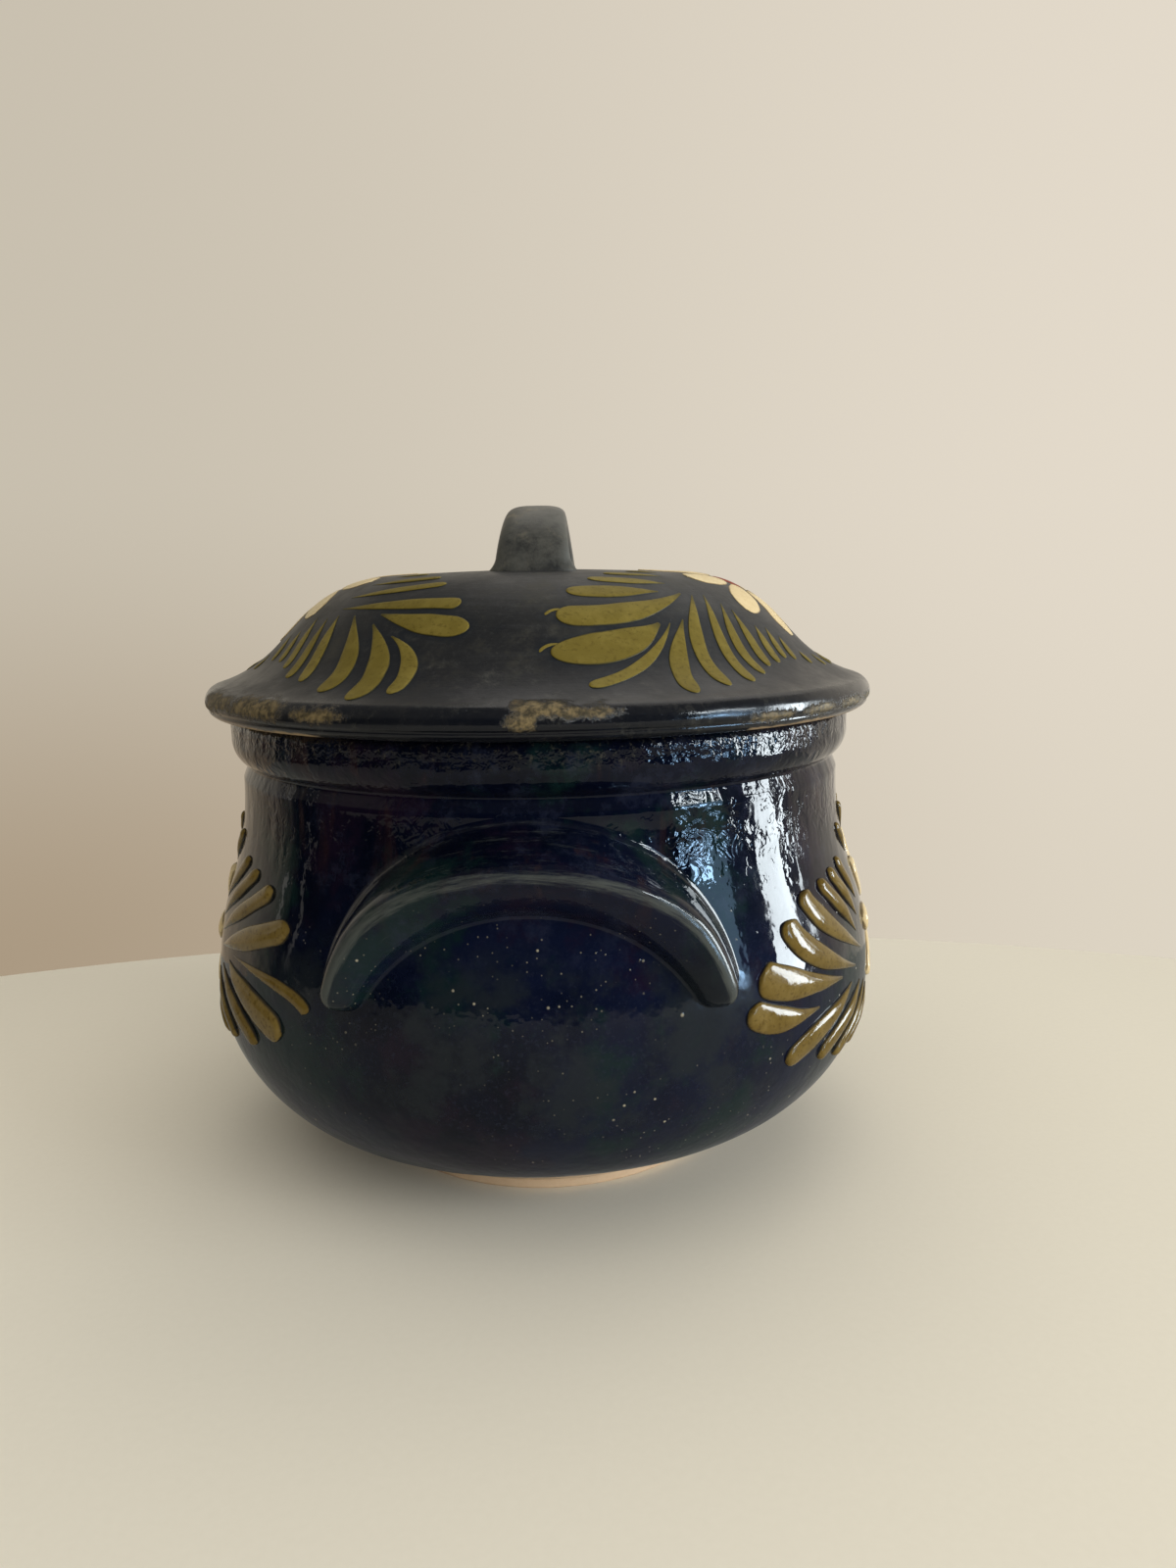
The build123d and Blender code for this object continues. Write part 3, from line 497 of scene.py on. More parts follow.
# Shader helpers
class Shader:
    """A material's node tree, built by calls that return output sockets."""

    def __init__(self, name):
        self.material = bpy.data.materials.new(name)
        self.material.use_nodes = True
        self.tree = self.material.node_tree
        self.principled = self.tree.nodes["Principled BSDF"]
        self.place = self.make("TexCoord").outputs["Object"]

    def make(self, kind, inputs=None, **settings):
        """A new node, its inputs set or linked."""
        node = self.tree.nodes.new(f"ShaderNode{kind}")
        for key, value in settings.items():
            setattr(node, key, value)
        for key, value in (inputs or {}).items():
            self.put(node.inputs[key], value)
        return node

    def put(self, socket, value):
        """Link a socket to an output, or set its value."""
        if isinstance(value, bpy.types.NodeSocket):
            self.tree.links.new(value, socket)
        elif socket.type == "RGBA" and len(value) == 3:
            socket.default_value = (*value, 1)
        else:
            socket.default_value = value

    def math(self, operation, a, b=0.0, c=0.0):
        node = self.make("Math", operation=operation)
        for socket, value in zip(node.inputs, (a, b, c)):
            self.put(socket, value)
        return node.outputs[0]

    def times(self, a, b):
        return self.math("MULTIPLY", a, b)

    def scaled(self, a, b, c):
        """a times b, plus c."""
        return self.math("MULTIPLY_ADD", a, b, c)

    def ramp(self, value, low, high, bottom=0.0, top=1.0):
        """A smooth step from low to high."""
        inputs = {"Value": value, "From Min": low, "From Max": high, "To Min": bottom, "To Max": top}
        return self.make("MapRange", inputs, interpolation_type="SMOOTHSTEP").outputs["Result"]

    def noise(self, scale, detail=3.0, rough=0.55, stretch=(1, 1, 1), offset=(0, 0, 0), twist=0.0,
              place=None):
        """Noise from 0 to 1, in object space or at a place of its own."""
        if place is None:
            mapping = {"Vector": self.place, "Scale": stretch, "Location": offset}
            place = self.make("Mapping", mapping).outputs[0]
        inputs = {"Vector": place, "Scale": scale, "Detail": detail, "Roughness": rough, "Distortion": twist}
        return self.make("TexNoise", inputs).outputs["Fac"]

    def specks(self, scale, chosen, inner, outer, offset=(0, 0, 0)):
        """Round specks, one in each cell whose random number is over the chosen one."""
        place = self.make("Mapping", {"Vector": self.place, "Location": offset}).outputs[0]
        cells = self.make("TexVoronoi", {"Vector": place, "Scale": scale}).outputs
        number = self.make("SeparateColor", {"Color": cells["Color"]}).outputs[0]
        picked = self.ramp(number, chosen, chosen + 0.03)
        return self.times(picked, self.ramp(cells["Distance"], outer, inner))

    def mix(self, share, below, above):
        """A colour between two others."""
        node = self.make("Mix", data_type="RGBA")
        self.put(node.inputs["Factor"], share)
        self.put(node.inputs[6], below)
        self.put(node.inputs[7], above)
        return node.outputs[2]

    def layer(self, below, above, where, most=1.0):
        """One colour over another where a mask says, at most by a share."""
        return self.mix(where if most == 1.0 else self.times(where, most), below, above)

    def blend(self, share, below, above):
        """A number between two others."""
        return self.make("Mix", {"Factor": share, "A": below, "B": above}).outputs["Result"]

    def field(self, name):
        """A mesh's own field, or 0 where the mesh has none."""
        return self.make("Attribute", attribute_name=name).outputs["Fac"]

    def bump(self, height, distance, strength=1.0, under=None):
        """A bump of so many mm, over another one."""
        inputs = {"Height": height, "Distance": distance * MM, "Strength": strength}
        if under is not None:
            inputs["Normal"] = under
        return self.make("Bump", inputs).outputs[0]

    def split(self):
        """The place's x, y and z."""
        return self.make("SeparateXYZ", {"Vector": self.place}).outputs

    def finish(self, **sockets):
        """The material, its shader's sockets set or linked."""
        for key, value in sockets.items():
            self.put(self.principled.inputs[key.replace("_", " ")], value)
        return self.material


# Colours of the pot's glaze and clay
# The neck's darker navy is painted shade
NAVY, PALE_NAVY, NECK_SHADE_NAVY = (0.0012, 0.0022, 0.0068), (0.0036, 0.0060, 0.0200), (0.0005, 0.0012, 0.0045)
GREEN, PURPLE, RUST = (0.0042, 0.0150, 0.0140), (0.0085, 0.0044, 0.0125), (0.026, 0.012, 0.012)
# The haze is a painted reflection of the table on the belly
MILK, GRAIN, TABLE_REFLECTION_HAZE = (0.021, 0.026, 0.048), (0.016, 0.020, 0.036), (0.0110, 0.0150, 0.0185)
SPECK, RUBBED_LUG, GRIT = (0.38, 0.35, 0.26), (0.066, 0.074, 0.068), (0.055, 0.052, 0.036)
CLAY, PALE_CLAY = (0.58, 0.40, 0.25), (0.72, 0.56, 0.38)
# Colours of the lid's glaze and clay
SLATE, PALE_SLATE, BRUSHED = (0.0068, 0.0075, 0.0090), (0.0155, 0.0160, 0.0160), (0.026, 0.027, 0.028)
THIN, POOLED, DUST = (0.038, 0.036, 0.026), (0.004, 0.006, 0.010), (0.042, 0.043, 0.042)
# The brim's darker colour is painted shade
SHADED_BRIM, HALO = (0.004, 0.005, 0.008), (0.003, 0.007, 0.012)
RUBBED_STRAP, FLECK = (0.074, 0.074, 0.062), (0.16, 0.14, 0.095)
WORN, PALE_WORN, SEAT_CLAY = (0.042, 0.033, 0.015), (0.205, 0.152, 0.068), (0.40, 0.29, 0.17)


def pot_glaze(name):
    """Deep navy glaze, very glossy, over an uneven clay wall; bare clay at the foot."""
    s = Shader(name)
    z = s.split()[2]
    high = s.ramp(z, 0.085, 0.118)
    # Navy with green and purple clouds, rusty runs, milky patches and fine grain, darker towards the neck as
    # painted shade, and a painted reflection of the table as a haze on the belly
    cloud = s.noise(24, 6, 0.68, offset=(3.1, 1.7, 0.4))
    streak = s.noise(110, 4, 0.6, stretch=(1, 1, 0.13))
    colour = s.mix(s.ramp(s.noise(16, 4, 0.6, twist=0.6), 0.36, 0.66), NAVY, PALE_NAVY)
    # Painted shade: the navy darkens towards the neck
    colour = s.layer(colour, NECK_SHADE_NAVY, high, 0.5)
    colour = s.layer(colour, GREEN, s.ramp(cloud, 0.51, 0.62), 0.75)
    colour = s.layer(colour, PURPLE, s.ramp(cloud, 0.47, 0.37), 0.7)
    colour = s.layer(colour, RUST, s.times(s.ramp(streak, 0.56, 0.72), high), 0.6)
    milky = s.ramp(s.noise(75, 6, 0.75, offset=(7, 2, 5)), 0.49, 0.68)
    colour = s.layer(colour, MILK, s.times(milky, s.ramp(z, 0.062, 0.105)), 0.4)
    grainy = s.ramp(s.noise(900, 3, 0.6), 0.52, 0.72)
    colour = s.layer(colour, GRAIN, s.times(grainy, s.ramp(z, 0.07, 0.10, 0.42, 0.08)))
    # Painted reflection: a pale haze in a band on the belly, where it mirrors the table
    belly = s.times(s.ramp(z, 0.026, 0.048), s.ramp(z, 0.094, 0.078))
    reflection_haze = s.ramp(s.noise(34, 5, 0.68, offset=(2, 5, 9)), 0.47, 0.62)
    colour = s.layer(colour, TABLE_REFLECTION_HAZE, s.times(reflection_haze, belly), 0.75)
    # Pale specks of three sizes, on the belly
    low = s.ramp(z, 0.108, 0.088)
    patch = s.ramp(s.noise(22, 3, 0.6, offset=(1, 8, 2)), 0.44, 0.58)
    coarse = s.specks(180, 0.955, 0.07, 0.15)
    common = s.times(s.specks(380, 0.925, 0.08, 0.19, offset=(4, 2, 7)), patch)
    dusty = s.times(s.specks(820, 0.86, 0.12, 0.26, offset=(1, 6, 3)), patch)
    speck = s.times(s.math("MAXIMUM", coarse, common), low)
    speck = s.math("MAXIMUM", speck, s.times(dusty, s.times(low, 0.4)))
    colour = s.layer(colour, SPECK, speck, 0.75)
    # The lugs' ridges, rubbed dull and greenish grey in streaks along the roll
    pulled = {"X": s.times(s.field("sweep"), 5.0), "Y": s.times(s.field("lie"), 9.0)}
    streaky = s.noise(1, 6, 0.75, place=s.make("CombineXYZ", pulled).outputs[0])
    rubbed = s.ramp(s.scaled(streaky, 1.4, s.field("rub")), 1.04, 1.54)
    colour = s.layer(colour, RUBBED_LUG, rubbed, 0.8)
    # Pitted, gritty collar top
    rough_top = s.ramp(z, 0.1315, 0.1375)
    gritty = s.times(s.ramp(s.noise(650, 5, 0.75, offset=(3, 0, 8)), 0.54, 0.66), rough_top)
    colour = s.layer(colour, GRIT, gritty, 0.5)
    # Bare clay below a wandering glaze line
    line = s.scaled(s.noise(60, 4), 0.0024, 0.0022)
    bare = s.ramp(s.math("SUBTRACT", line, z), -0.0002, 0.0005)
    colour = s.layer(colour, s.mix(s.noise(300, 4, 0.7), CLAY, PALE_CLAY), bare)
    # Very glossy, less so in patches, on the rubbed ridges and in the grit
    worn = s.ramp(s.noise(60, 5, 0.65, offset=(5, 5, 1)), 0.42, 0.62)
    shine = s.scaled(worn, s.ramp(z, 0.070, 0.095, 0.13, 0.04), 0.03)
    shine = s.scaled(rubbed, 0.14, s.scaled(gritty, 0.25, shine))
    rough = s.blend(bare, shine, 0.8)
    # Hollows and waves, runs, wrinkles and flaws towards the neck, orange peel, pits and standing specks
    rolling = s.bump(s.noise(40, 2, 0.45, offset=(2, 4, 6)), 0.55, 0.7)
    ripple = s.bump(s.noise(120, 2, 0.5, offset=(8, 1, 3)), 0.13, 0.7, rolling)
    waves = s.bump(s.noise(75, 3, 0.55, offset=(1, 7, 5)), 0.55, s.ramp(z, 0.092, 0.072, 0.0, 0.8), ripple)
    trickle = s.noise(140, 2, 0.5, stretch=(1, 1, 0.2), offset=(4, 0, 0))
    runs = s.bump(trickle, 0.42, s.times(high, 0.9), waves)
    creased = s.times(s.ramp(z, 0.098, 0.117), s.ramp(s.noise(38, 3, 0.6, offset=(9, 4, 2)), 0.40, 0.58))
    wrinkle = s.bump(s.noise(240, 2, 0.5, offset=(6, 6, 3), twist=1.0), 0.44, creased, runs)
    flaws = s.times(s.ramp(s.noise(330, 2, 0.5, offset=(2, 9, 4)), 0.60, 0.68), high)
    broken = s.bump(flaws, -0.05, 0.7, wrinkle)
    peel = s.bump(s.noise(430, 1, 0.5), 0.045, 0.6, broken)
    pits = s.bump(s.noise(430, 2, 0.6, offset=(3, 0, 8)), 0.55, s.times(rough_top, 0.9), peel)
    standing = s.bump(speck, 0.18, 0.6, pits)
    return s.finish(Base_Color=colour, Roughness=rough, Normal=standing, IOR=1.5, Specular_IOR_Level=0.25)


def lid_glaze(name):
    """Thinner satin slate-blue glaze, brushed and dusty, worn to ochre clay along the edge."""
    s = Shader(name)
    x, y, z = s.split()
    reach = s.math("SQRT", s.math("ADD", s.times(x, x), s.times(y, y)))
    ring = s.make("CombineXYZ", {"X": x, "Y": y, "Z": s.times(reach, 16.0)}).outputs[0]
    brush = s.noise(42, 5, 0.7, place=ring)
    cloud = s.noise(52, 6, 0.7, offset=(3, 3, 1))
    # Slate, brushed round, thin or pooled in clouds, dusty, darker round the slip, and darker on the brim as
    # painted shade
    colour = s.mix(s.ramp(s.noise(20, 5, 0.62, twist=0.4), 0.35, 0.68), SLATE, PALE_SLATE)
    colour = s.layer(colour, BRUSHED, s.ramp(brush, 0.48, 0.72), 0.6)
    colour = s.layer(colour, THIN, s.ramp(cloud, 0.51, 0.68), 0.7)
    colour = s.layer(colour, POOLED, s.ramp(cloud, 0.45, 0.30), 0.7)
    colour = s.layer(colour, DUST, s.ramp(s.noise(700, 4, 0.7), 0.50, 0.76), 0.40)
    colour = s.layer(colour, SHADED_BRIM, s.ramp(reach, 0.078, 0.098, 0.0, 0.72))
    colour = s.layer(colour, HALO, s.field("halo"), 0.8)
    # The strap, rubbed greenish grey, with tan flecks drawn out along it
    rub = s.field("rub")
    mottle = s.noise(150, 6, 0.75, offset=(5, 2, 8))
    rubbed = s.ramp(s.scaled(rub, 0.75, mottle), 0.52, 0.95)
    colour = s.layer(colour, RUBBED_STRAP, rubbed, 0.9)
    drawn = s.noise(260, 5, 0.7, stretch=(1, 1, 0.16), offset=(8, 3, 1))
    fleck = s.times(s.ramp(drawn, 0.53, 0.68), s.ramp(rub, 0.2, 0.6))
    colour = s.layer(colour, FLECK, fleck, 0.6)
    # Ragged worn patches on the edge
    ragged = s.scaled(s.noise(300, 8, 0.85), 2.6, -1.3)
    wear = s.times(s.ramp(s.math("ADD", s.field("wear"), ragged), 0.30, 0.78), 0.9)
    grainy = s.ramp(s.noise(420, 6, 0.8, offset=(2, 2, 2)), 0.40, 0.62)
    colour = s.layer(colour, s.mix(grainy, WORN, PALE_WORN), wear)
    # Bare clay on parts of the seat and all over the flange
    seat = s.ramp(s.math("ADD", z, s.times(s.noise(160, 4), 0.0022)), 0.1433, 0.1426)
    parts = s.math("ADD", s.field("bare"), s.noise(48, 3, 0.6, offset=(1, 0, 4)))
    flange = s.times(seat, s.ramp(reach, 0.0905, 0.0895))
    bare = s.math("MAXIMUM", s.times(seat, s.ramp(parts, 0.85, 1.05)), flange)
    colour = s.layer(colour, SEAT_CLAY, bare, 0.9)
    # Satin, glossier towards the edge, dull where worn or bare
    satin = s.scaled(s.ramp(cloud, 0.35, 0.7), 0.16, 0.40)
    satin = s.math("SUBTRACT", satin, s.times(s.ramp(z, 0.1515, 0.1475), 0.18))
    satin = s.math("SUBTRACT", satin, s.ramp(reach, 0.082, 0.100, 0.0, 0.11))
    rough = s.blend(s.math("MAXIMUM", wear, bare), satin, 0.65)
    rolling = s.bump(s.noise(55, 3, 0.5), 0.35, 0.5)
    lines = s.bump(brush, 0.10, 0.45, rolling)
    dry = s.bump(s.noise(420, 4, 0.65), 0.11, 0.5, lines)
    scuffed = s.bump(rubbed, 0.10, 0.5, dry)
    chipped = s.bump(wear, -0.22, 0.8, scuffed)
    return s.finish(Base_Color=colour, Roughness=rough, Normal=chipped, IOR=1.5, Specular_IOR_Level=0.36)


def slip_glaze(name, deep, middle, pale, thinned, gloss, specular, hollows):
    """Coloured slip under clear glaze: mottled, darker where it thins at its edge and its root."""
    s = Shader(name)
    mottle = s.noise(190, 5, 0.65)
    fine = s.noise(800, 3, 0.6, offset=(4, 1, 2))
    tone = s.scaled(s.field("tone"), 0.22, s.scaled(mottle, 0.9, -0.08))
    colour = s.mix(s.ramp(tone, 0.3, 0.75), middle, pale)
    colour = s.layer(colour, deep, s.ramp(fine, 0.52, 0.70), 0.55)
    rim = s.math("ADD", s.field("edge"), s.scaled(mottle, 0.12, -0.06))
    colour = s.layer(colour, thinned, s.ramp(rim, 0.86, 1.0), 0.9)
    colour = s.layer(colour, thinned, s.ramp(s.field("along"), 0.16, 0.0), 0.55)
    rough = s.scaled(mottle, 0.12, gloss)
    rolling = s.bump(s.noise(210, 3, 0.5), hollows, 0.7)
    peel = s.bump(s.noise(700, 3, 0.6), 0.05, 0.5, rolling)
    return s.finish(Base_Color=colour, Roughness=rough, Normal=peel, IOR=1.5, Specular_IOR_Level=specular)


# Slip colours: deep, middle, pale and thinned
OLIVE = ((0.078, 0.056, 0.008), (0.135, 0.103, 0.016), (0.192, 0.150, 0.030), (0.008, 0.012, 0.010))
OCHRE = ((0.052, 0.029, 0.006), (0.120, 0.079, 0.016), (0.176, 0.124, 0.036), (0.010, 0.013, 0.016))
CREAM = ((0.55, 0.41, 0.19), (0.68, 0.54, 0.30), (0.75, 0.63, 0.38), (0.16, 0.11, 0.05))
RED = ((0.12, 0.022, 0.012), (0.23, 0.042, 0.024), (0.32, 0.075, 0.04), (0.03, 0.01, 0.01))
# Slip thick and glossy on the pot, flat and satin on the lid: relief in mm and to half the width, power of
# the section, tips' bluntness, petals' width to the solids', and the glaze's roughness, specular and hollows
STYLES = {
    "pot": {
        "relief": 1.65, "slim": 0.75, "round": 2.3, "blunt": (0.9, 1.5), "petal": 1.0,
        "finish": (0.05, 0.22, 0.16), "slips": {"olive_slip": OCHRE, "cream_slip": CREAM, "red_slip": RED}},
    "lid": {
        "relief": 0.38, "slim": 0.3, "round": 4.0, "blunt": (1.2, 2.6), "petal": 1.25,
        "finish": (0.42, 0.12, 0.05), "slips": {"olive_slip": OLIVE, "cream_slip": CREAM, "red_slip": RED}},
}
looks = {
    body: {
        slot: slip_glaze(f"{slot}_{body}", *colours, *style["finish"])
        for slot, colours in style["slips"].items()}
    for body, style in STYLES.items()}

# Slip sprays, each in place of its CAD nodes: ground, body, bearing, the front fan's side and strokes
SPRAYS = {
    "pot_right": (pot_ground, "pot", 0.0, -1, POT_RIGHT),
    "pot_left": (pot_ground, "pot", 180.0, 1, POT_LEFT),
    "lid_right": (lid_ground, "lid", 349.0, -1, LID_RIGHT + LID_HOOKS),
    "lid_left": (lid_ground, "lid", 186.0, 1, LID_LEFT),
}
lid_marks = []
for spray, (ground, body, bearing, front, strokes) in SPRAYS.items():
    style = STYLES[body]
    pieces = {}
    for fan, side in (("front_leaves", front), ("rear_leaves", -front)):
        pieces[f"{spray}_{fan}"] = "olive_slip", join([
            slip_stroke(ground, bearing, side, waypoints, width, style, False)
            for *waypoints, width in strokes])
    paths = [petal_path(ground, PETAL_ANGLE + step * 360 / PETALS) for step in range(PETALS)]
    pieces[f"{spray}_petals"] = "cream_slip", join([
        slip_stroke(ground, bearing, front, path, PETAL_WIDTH, style, True) for path in paths])
    pieces[f"{spray}_flower_centre"] = "red_slip", join([flower_centre(ground, bearing, style["relief"])])
    for node, (slot, (points, faces, fields)) in pieces.items():
        add_mesh(f"slip_{node}", points, faces, body, [node], looks[body][slot], fields)
        if body == "lid":
            lid_marks.append(points)

# Where the lid's edge is rubbed: bearing, spread, height, depth and strength of each patch, outside a radius
WEAR = [
    (211, 8, 147.5, 2.6, 1.0), (226, 8, 147.5, 2.8, 1.0), (240, 5, 147.0, 2.2, 0.9),
    (203, 9, 145.0, 1.8, 0.8), (272.5, 4.0, 149.0, 2.4, 1.0), (270, 2.4, 146.2, 2.6, 0.95),
    (278.5, 4.5, 148.2, 1.8, 0.95), (307, 5, 144.6, 1.6, 0.9), (318, 5, 144.8, 1.7, 0.95),
    (329, 5, 145.0, 1.8, 0.95), (340, 5, 145.2, 1.6, 0.8), (20, 9, 146, 2.2, 0.8),
    (75, 12, 147, 2.4, 0.9), (120, 7, 146, 2.2, 0.8), (155, 11, 147, 2.4, 0.9),
]
WEAR_RADIUS = 98
# Where the clay of the lid's seat is bare: bearing and spread of each stretch
BARE = [(218, 24), (322, 20), (30, 20), (95, 24), (150, 18)]
# How far the dark glaze round the lid's slip reaches, in mm
HALO_REACH = 1.1


def halo_field(points, marks):
    """How near each point is to the slip, from 0 to 1."""
    marks = np.concatenate(marks)
    tree = kdtree.KDTree(len(marks))
    for number, mark in enumerate(marks):
        tree.insert(mark, number)
    tree.balance()
    return np.exp(-np.array([tree.find(point)[2] for point in points]) / HALO_REACH)


def degrees_from(points, bearing):
    """How far round each point is from a bearing, between -180 and 180."""
    turn = np.degrees(np.arctan2(points[:, 1], points[:, 0]))
    return (turn - bearing + 180) % 360 - 180


def wear_field(points):
    """How worn each point is, from 0 to 1."""
    worn = np.zeros(len(points))
    for bearing, spread, height, depth, strength in WEAR:
        away = (degrees_from(points, bearing) / spread) ** 4 + ((points[:, 2] - height) / depth) ** 2
        worn = np.maximum(worn, strength * np.exp(-away))
    return worn * (np.hypot(points[:, 0], points[:, 1]) > WEAR_RADIUS)


def bare_field(points):
    """How bare of glaze each point is, from 0 to 1."""
    return np.max([np.exp(-(degrees_from(points, bearing) / spread) ** 6) for bearing, spread in BARE], 0)


# Pot, lid, lugs and strap, in place of their CAD nodes
AROUND = 512
pot_look, lid_look = pot_glaze("pot_glaze"), lid_glaze("lid_glaze")
# The waver stays off the pot's inner wall and the lid's seat
pot_points, pot_faces = lathe(pot_outline(), AROUND, lambda p, out: pot_waver(p) * (out > -0.05))
add_mesh("pot_body_glazed", pot_points, pot_faces, "pot", ["pot_body"], pot_look)
lid_points, lid_faces = lathe(
    lid_outline(), AROUND, lambda p, out: lid_waver(p) * (p[..., 2] > RIM_HEIGHT + 1))
fields = {
    "halo": halo_field(lid_points, lid_marks), "wear": wear_field(lid_points), "bare": bare_field(lid_points)}
add_mesh("lid_shell_glazed", lid_points, lid_faces, "lid", ["lid_shell"], lid_look, fields)
for node, bearing in (("front_handle", 270.0), ("rear_handle", 90.0)):
    points, faces, fields = lug(bearing)
    add_mesh(f"{node}_glazed", points, faces.tolist(), "pot", [node], pot_look, fields)
points, faces, fields = strap()
add_mesh(
    "lid_handle_glazed", points, faces.tolist(), "lid", ["lid_handle"], lid_look, fields)

# Floor: a matte round table top, mottled very faintly
TABLE_CENTRE, TABLE_RADIUS, TABLE_SIDES = (0.02, -0.59), 0.78, 256
TABLE, PALE_TABLE, MIRRORED_TABLE = (0.825, 0.780, 0.655), (0.855, 0.810, 0.685), (0.45, 0.45, 0.415)
turn = np.linspace(0, 2 * math.pi, TABLE_SIDES, endpoint=False)
across, along = TABLE_CENTRE[0] + TABLE_RADIUS * np.cos(turn), TABLE_CENTRE[1] + TABLE_RADIUS * np.sin(turn)
floor_mesh = bpy.data.meshes.new("floor")
floor_mesh.from_pydata(np.c_[across, along, 0 * turn].tolist(), [], [range(TABLE_SIDES)])
floor = bpy.data.objects.new("floor", floor_mesh)
scene.collection.objects.link(floor)
table = Shader("table")
mottled = table.mix(table.noise(500, 2, 0.5), TABLE, PALE_TABLE)
# Reflections show the table as dim as the photograph's glaze does
mirrored = table.make("LightPath").outputs["Is Glossy Ray"]
shown = table.mix(mirrored, mottled, MIRRORED_TABLE)
floor_mesh.materials.append(table.finish(Base_Color=shown, Roughness=0.6, Specular_IOR_Level=0.0))


# World: a cream wall to the camera; to all else that wall behind, a dark front, dim sides and ceiling
class Sky(Shader):
    """The world's node tree, with the same calls as a material's."""

    def __init__(self, name):
        self.world = bpy.data.worlds.new(name)
        self.world.use_nodes = True
        self.tree = self.world.node_tree
        self.place = self.make("TexCoord").outputs["Generated"]

    def show(self, colour):
        """Use the world, with this colour."""
        self.put(self.tree.nodes["Background"].inputs["Color"], colour)
        scene.world = self.world


# The wall's colours at its left and right, lighter to the right as painted light and darkest low at the left
# as painted shade, and the sides' low and high
WALL_UPPER = (0.575, 0.520, 0.425), (0.775, 0.705, 0.600)
WALL_LOWER = (0.400, 0.315, 0.220), (0.730, 0.665, 0.555)
LEFT_SIDE = (0.013, 0.013, 0.013), (0.30, 0.28, 0.24)
RIGHT_SIDE = (0.13, 0.165, 0.23), (0.25, 0.27, 0.30)
DARK_FRONT, DIM_CEILING = (0.007, 0.008, 0.014), (0.15, 0.145, 0.135)
sky = Sky("studio")
east, north, height = sky.split()
eastward = sky.ramp(east, -0.55, 0.55)
upper = sky.mix(eastward, *WALL_UPPER)
lower = sky.mix(eastward, *WALL_LOWER)
wall = sky.mix(sky.ramp(height, -0.30, 0.12), lower, upper)
left = sky.mix(sky.ramp(height, 0.16, 0.45), *LEFT_SIDE)
right = sky.mix(sky.ramp(height, 0.25, 0.55), *RIGHT_SIDE)
sides = sky.mix(sky.ramp(east, -0.5, 0.5), left, right)
room = sky.mix(sky.ramp(north, 0.05, 0.45), sides, wall)
room = sky.mix(sky.ramp(north, -0.28, -0.62), room, DARK_FRONT)
room = sky.mix(sky.ramp(height, 0.35, 0.75), room, DIM_CEILING)
seen = sky.make("LightPath").outputs["Is Camera Ray"]
sky.show(sky.mix(seen, room, wall))


def lamp(name, place, target, size, power, colour):
    """A soft rectangular lamp."""
    data = bpy.data.lights.new(name, "AREA")
    data.shape = "RECTANGLE"
    data.size, data.size_y = size
    data.energy = power
    data.color = colour
    item = bpy.data.objects.new(name, data)
    item.location = place
    item.rotation_euler = (Vector(target) - Vector(place)).to_track_quat("-Z", "Y").to_euler()
    scene.collection.objects.link(item)
    return item


MIDDLE = (0, 0, 0.1)


def at_bearing(azimuth, elevation, distance):
    """A place round the pot's middle, by direction and distance."""
    turn, tilt = math.radians(azimuth), math.radians(elevation)
    level = distance * math.cos(tilt)
    return (level * math.cos(turn), level * math.sin(turn), MIDDLE[2] + distance * math.sin(tilt))


WHITE, BLUE, WARM = (0.86, 0.95, 1.0), (0.42, 0.68, 1.0), (1.0, 0.95, 0.88)
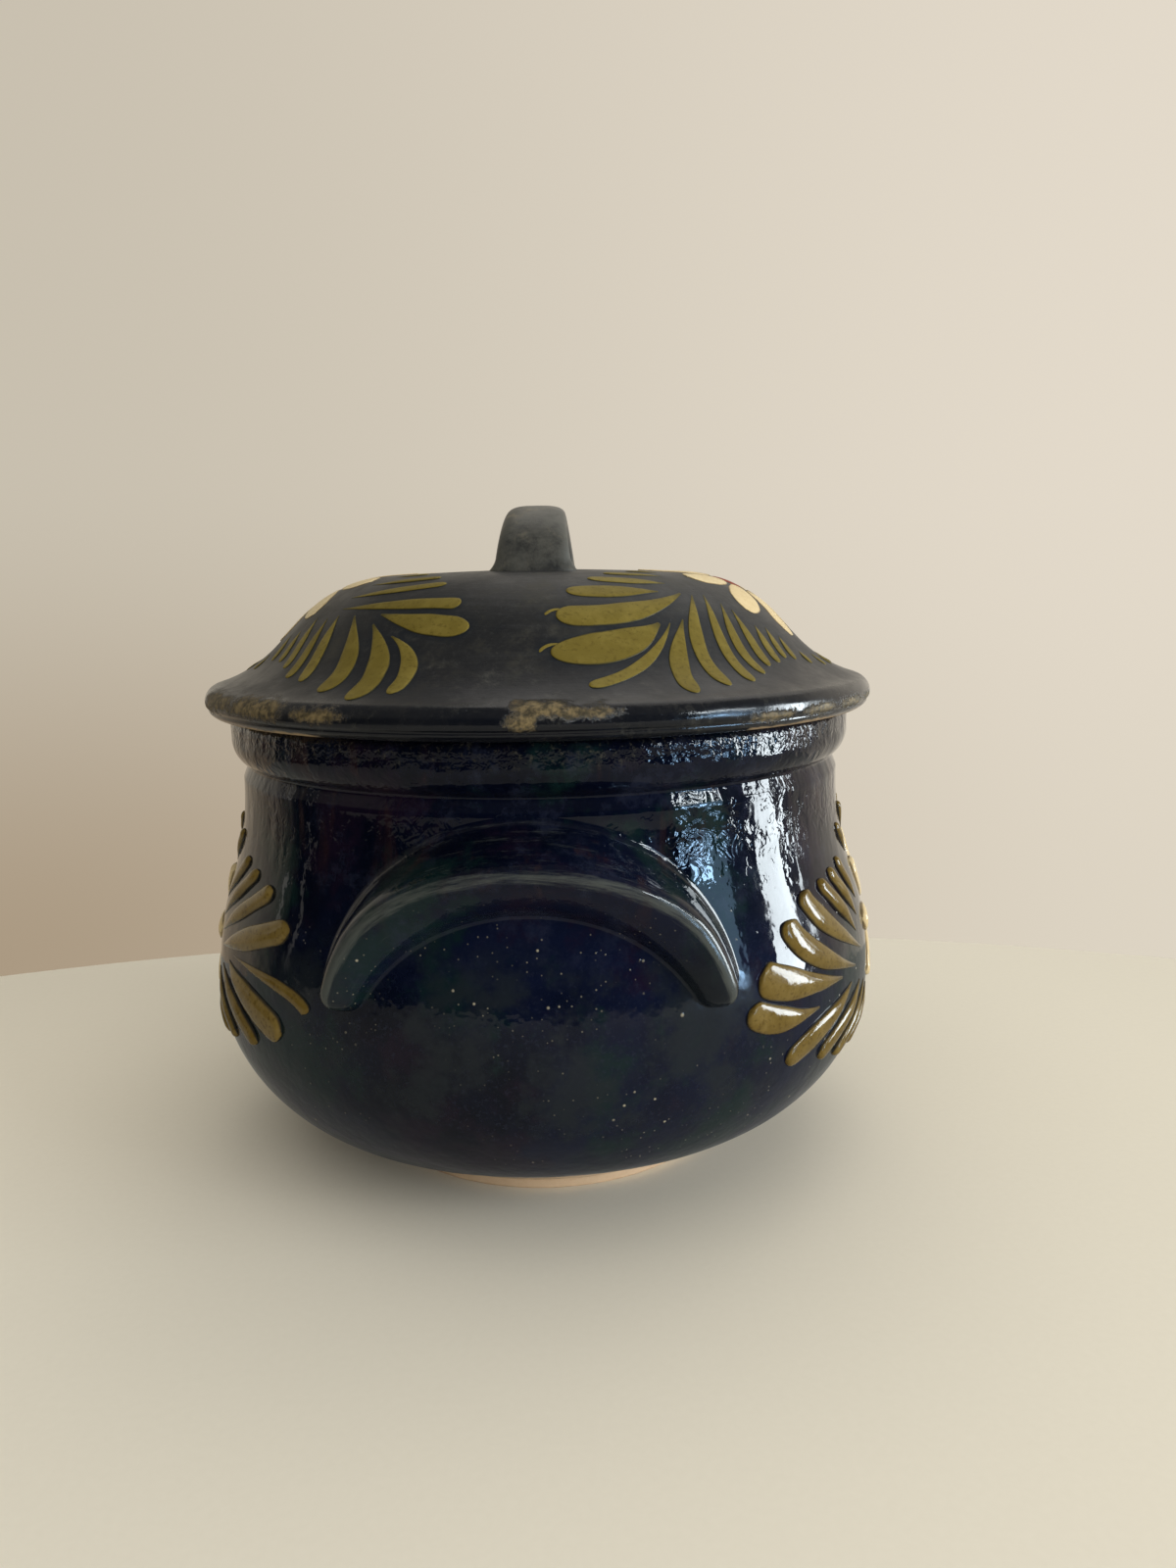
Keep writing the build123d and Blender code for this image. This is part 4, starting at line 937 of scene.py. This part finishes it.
# Windows and panes that show in reflections only: bearing, elevation, size, power and colour
PANE_DISTANCE = 1.25
PANES = [
    (359, 5, (0.30, 0.62), 16.5, WHITE), (12, 6, (0.03, 0.50), 0.7, WHITE),
    (325, 22, (0.07, 0.17), 1.5, WHITE), (333, 24, (0.06, 0.16), 1.25, WHITE),
    (340, 20, (0.04, 0.24), 1.2, WHITE), (322, -1, (0.06, 0.11), 1.0, BLUE),
    (329, 3, (0.06, 0.14), 1.5, BLUE), (334, -3, (0.03, 0.12), 0.6, BLUE),
    (331, 8, (0.32, 0.60), 2.4, BLUE), (183, 6, (0.03, 0.50), 0.03, WARM),
    (171, 9, (0.05, 0.40), 0.04, WARM),
]
for number, (azimuth, elevation, size, power, colour) in enumerate(PANES):
    pane = lamp(f"pane_{number}", at_bearing(azimuth, elevation, PANE_DISTANCE), MIDDLE, size, power, colour)
    pane.visible_diffuse = False
# Soft light from the window's side, overhead and in front, kept out of reflections
SOFT_LAMPS = [
    ("window", at_bearing(338, 12, 4.5), MIDDLE, (2.6, 2.6), 123.0, (0.93, 0.97, 1.0)),
    ("overhead", (-0.05, -0.60, 1.7), (-0.05, -0.60, 0), (2.4, 2.4), 14.7, (1.0, 0.96, 0.90)),
    ("front", (0.62, -1.10, 0.50), (0, 0, 0.02), (1.3, 0.8), 8.6, (1.0, 0.97, 0.93)),
]
for soft in SOFT_LAMPS:
    lamp(*soft).visible_glossy = False
# Light from behind and above, which shows in reflections too
lamp("ceiling", (0.30, 0.75, 1.35), MIDDLE, (1.2, 1.0), 3.5, WARM)

# Camera at the photograph's place: yaw, pitch and roll in degrees, focal length in pixels
CAMERA_PLACE, CAMERA_TURNS = (0.01755, -0.35877, 0.1758), (-0.42, 9.92, 0.81)
FOCAL_PIXELS, PICTURE_HEIGHT, SENSOR = 1110, 1600, 36.0
yaw, pitch, roll = (math.radians(degrees) for degrees in CAMERA_TURNS)
forward = Vector((math.sin(yaw) * math.cos(pitch), math.cos(yaw) * math.cos(pitch), -math.sin(pitch)))
level = Vector((math.cos(yaw), -math.sin(yaw), 0))
upright = level.cross(forward)
rightward = level * math.cos(roll) - upright * math.sin(roll)
upward = level * math.sin(roll) + upright * math.cos(roll)
camera_data = bpy.data.cameras.new("camera")
camera_data.sensor_width = SENSOR
camera_data.lens = FOCAL_PIXELS / PICTURE_HEIGHT * SENSOR
camera_data.clip_start = 0.01
camera = bpy.data.objects.new("camera", camera_data)
camera.matrix_world = Matrix.Translation(CAMERA_PLACE) @ Matrix(
    (rightward, upward, -forward)).transposed().to_4x4()
scene.collection.objects.link(camera)
scene.camera = camera
scene.view_settings.view_transform = "Standard"
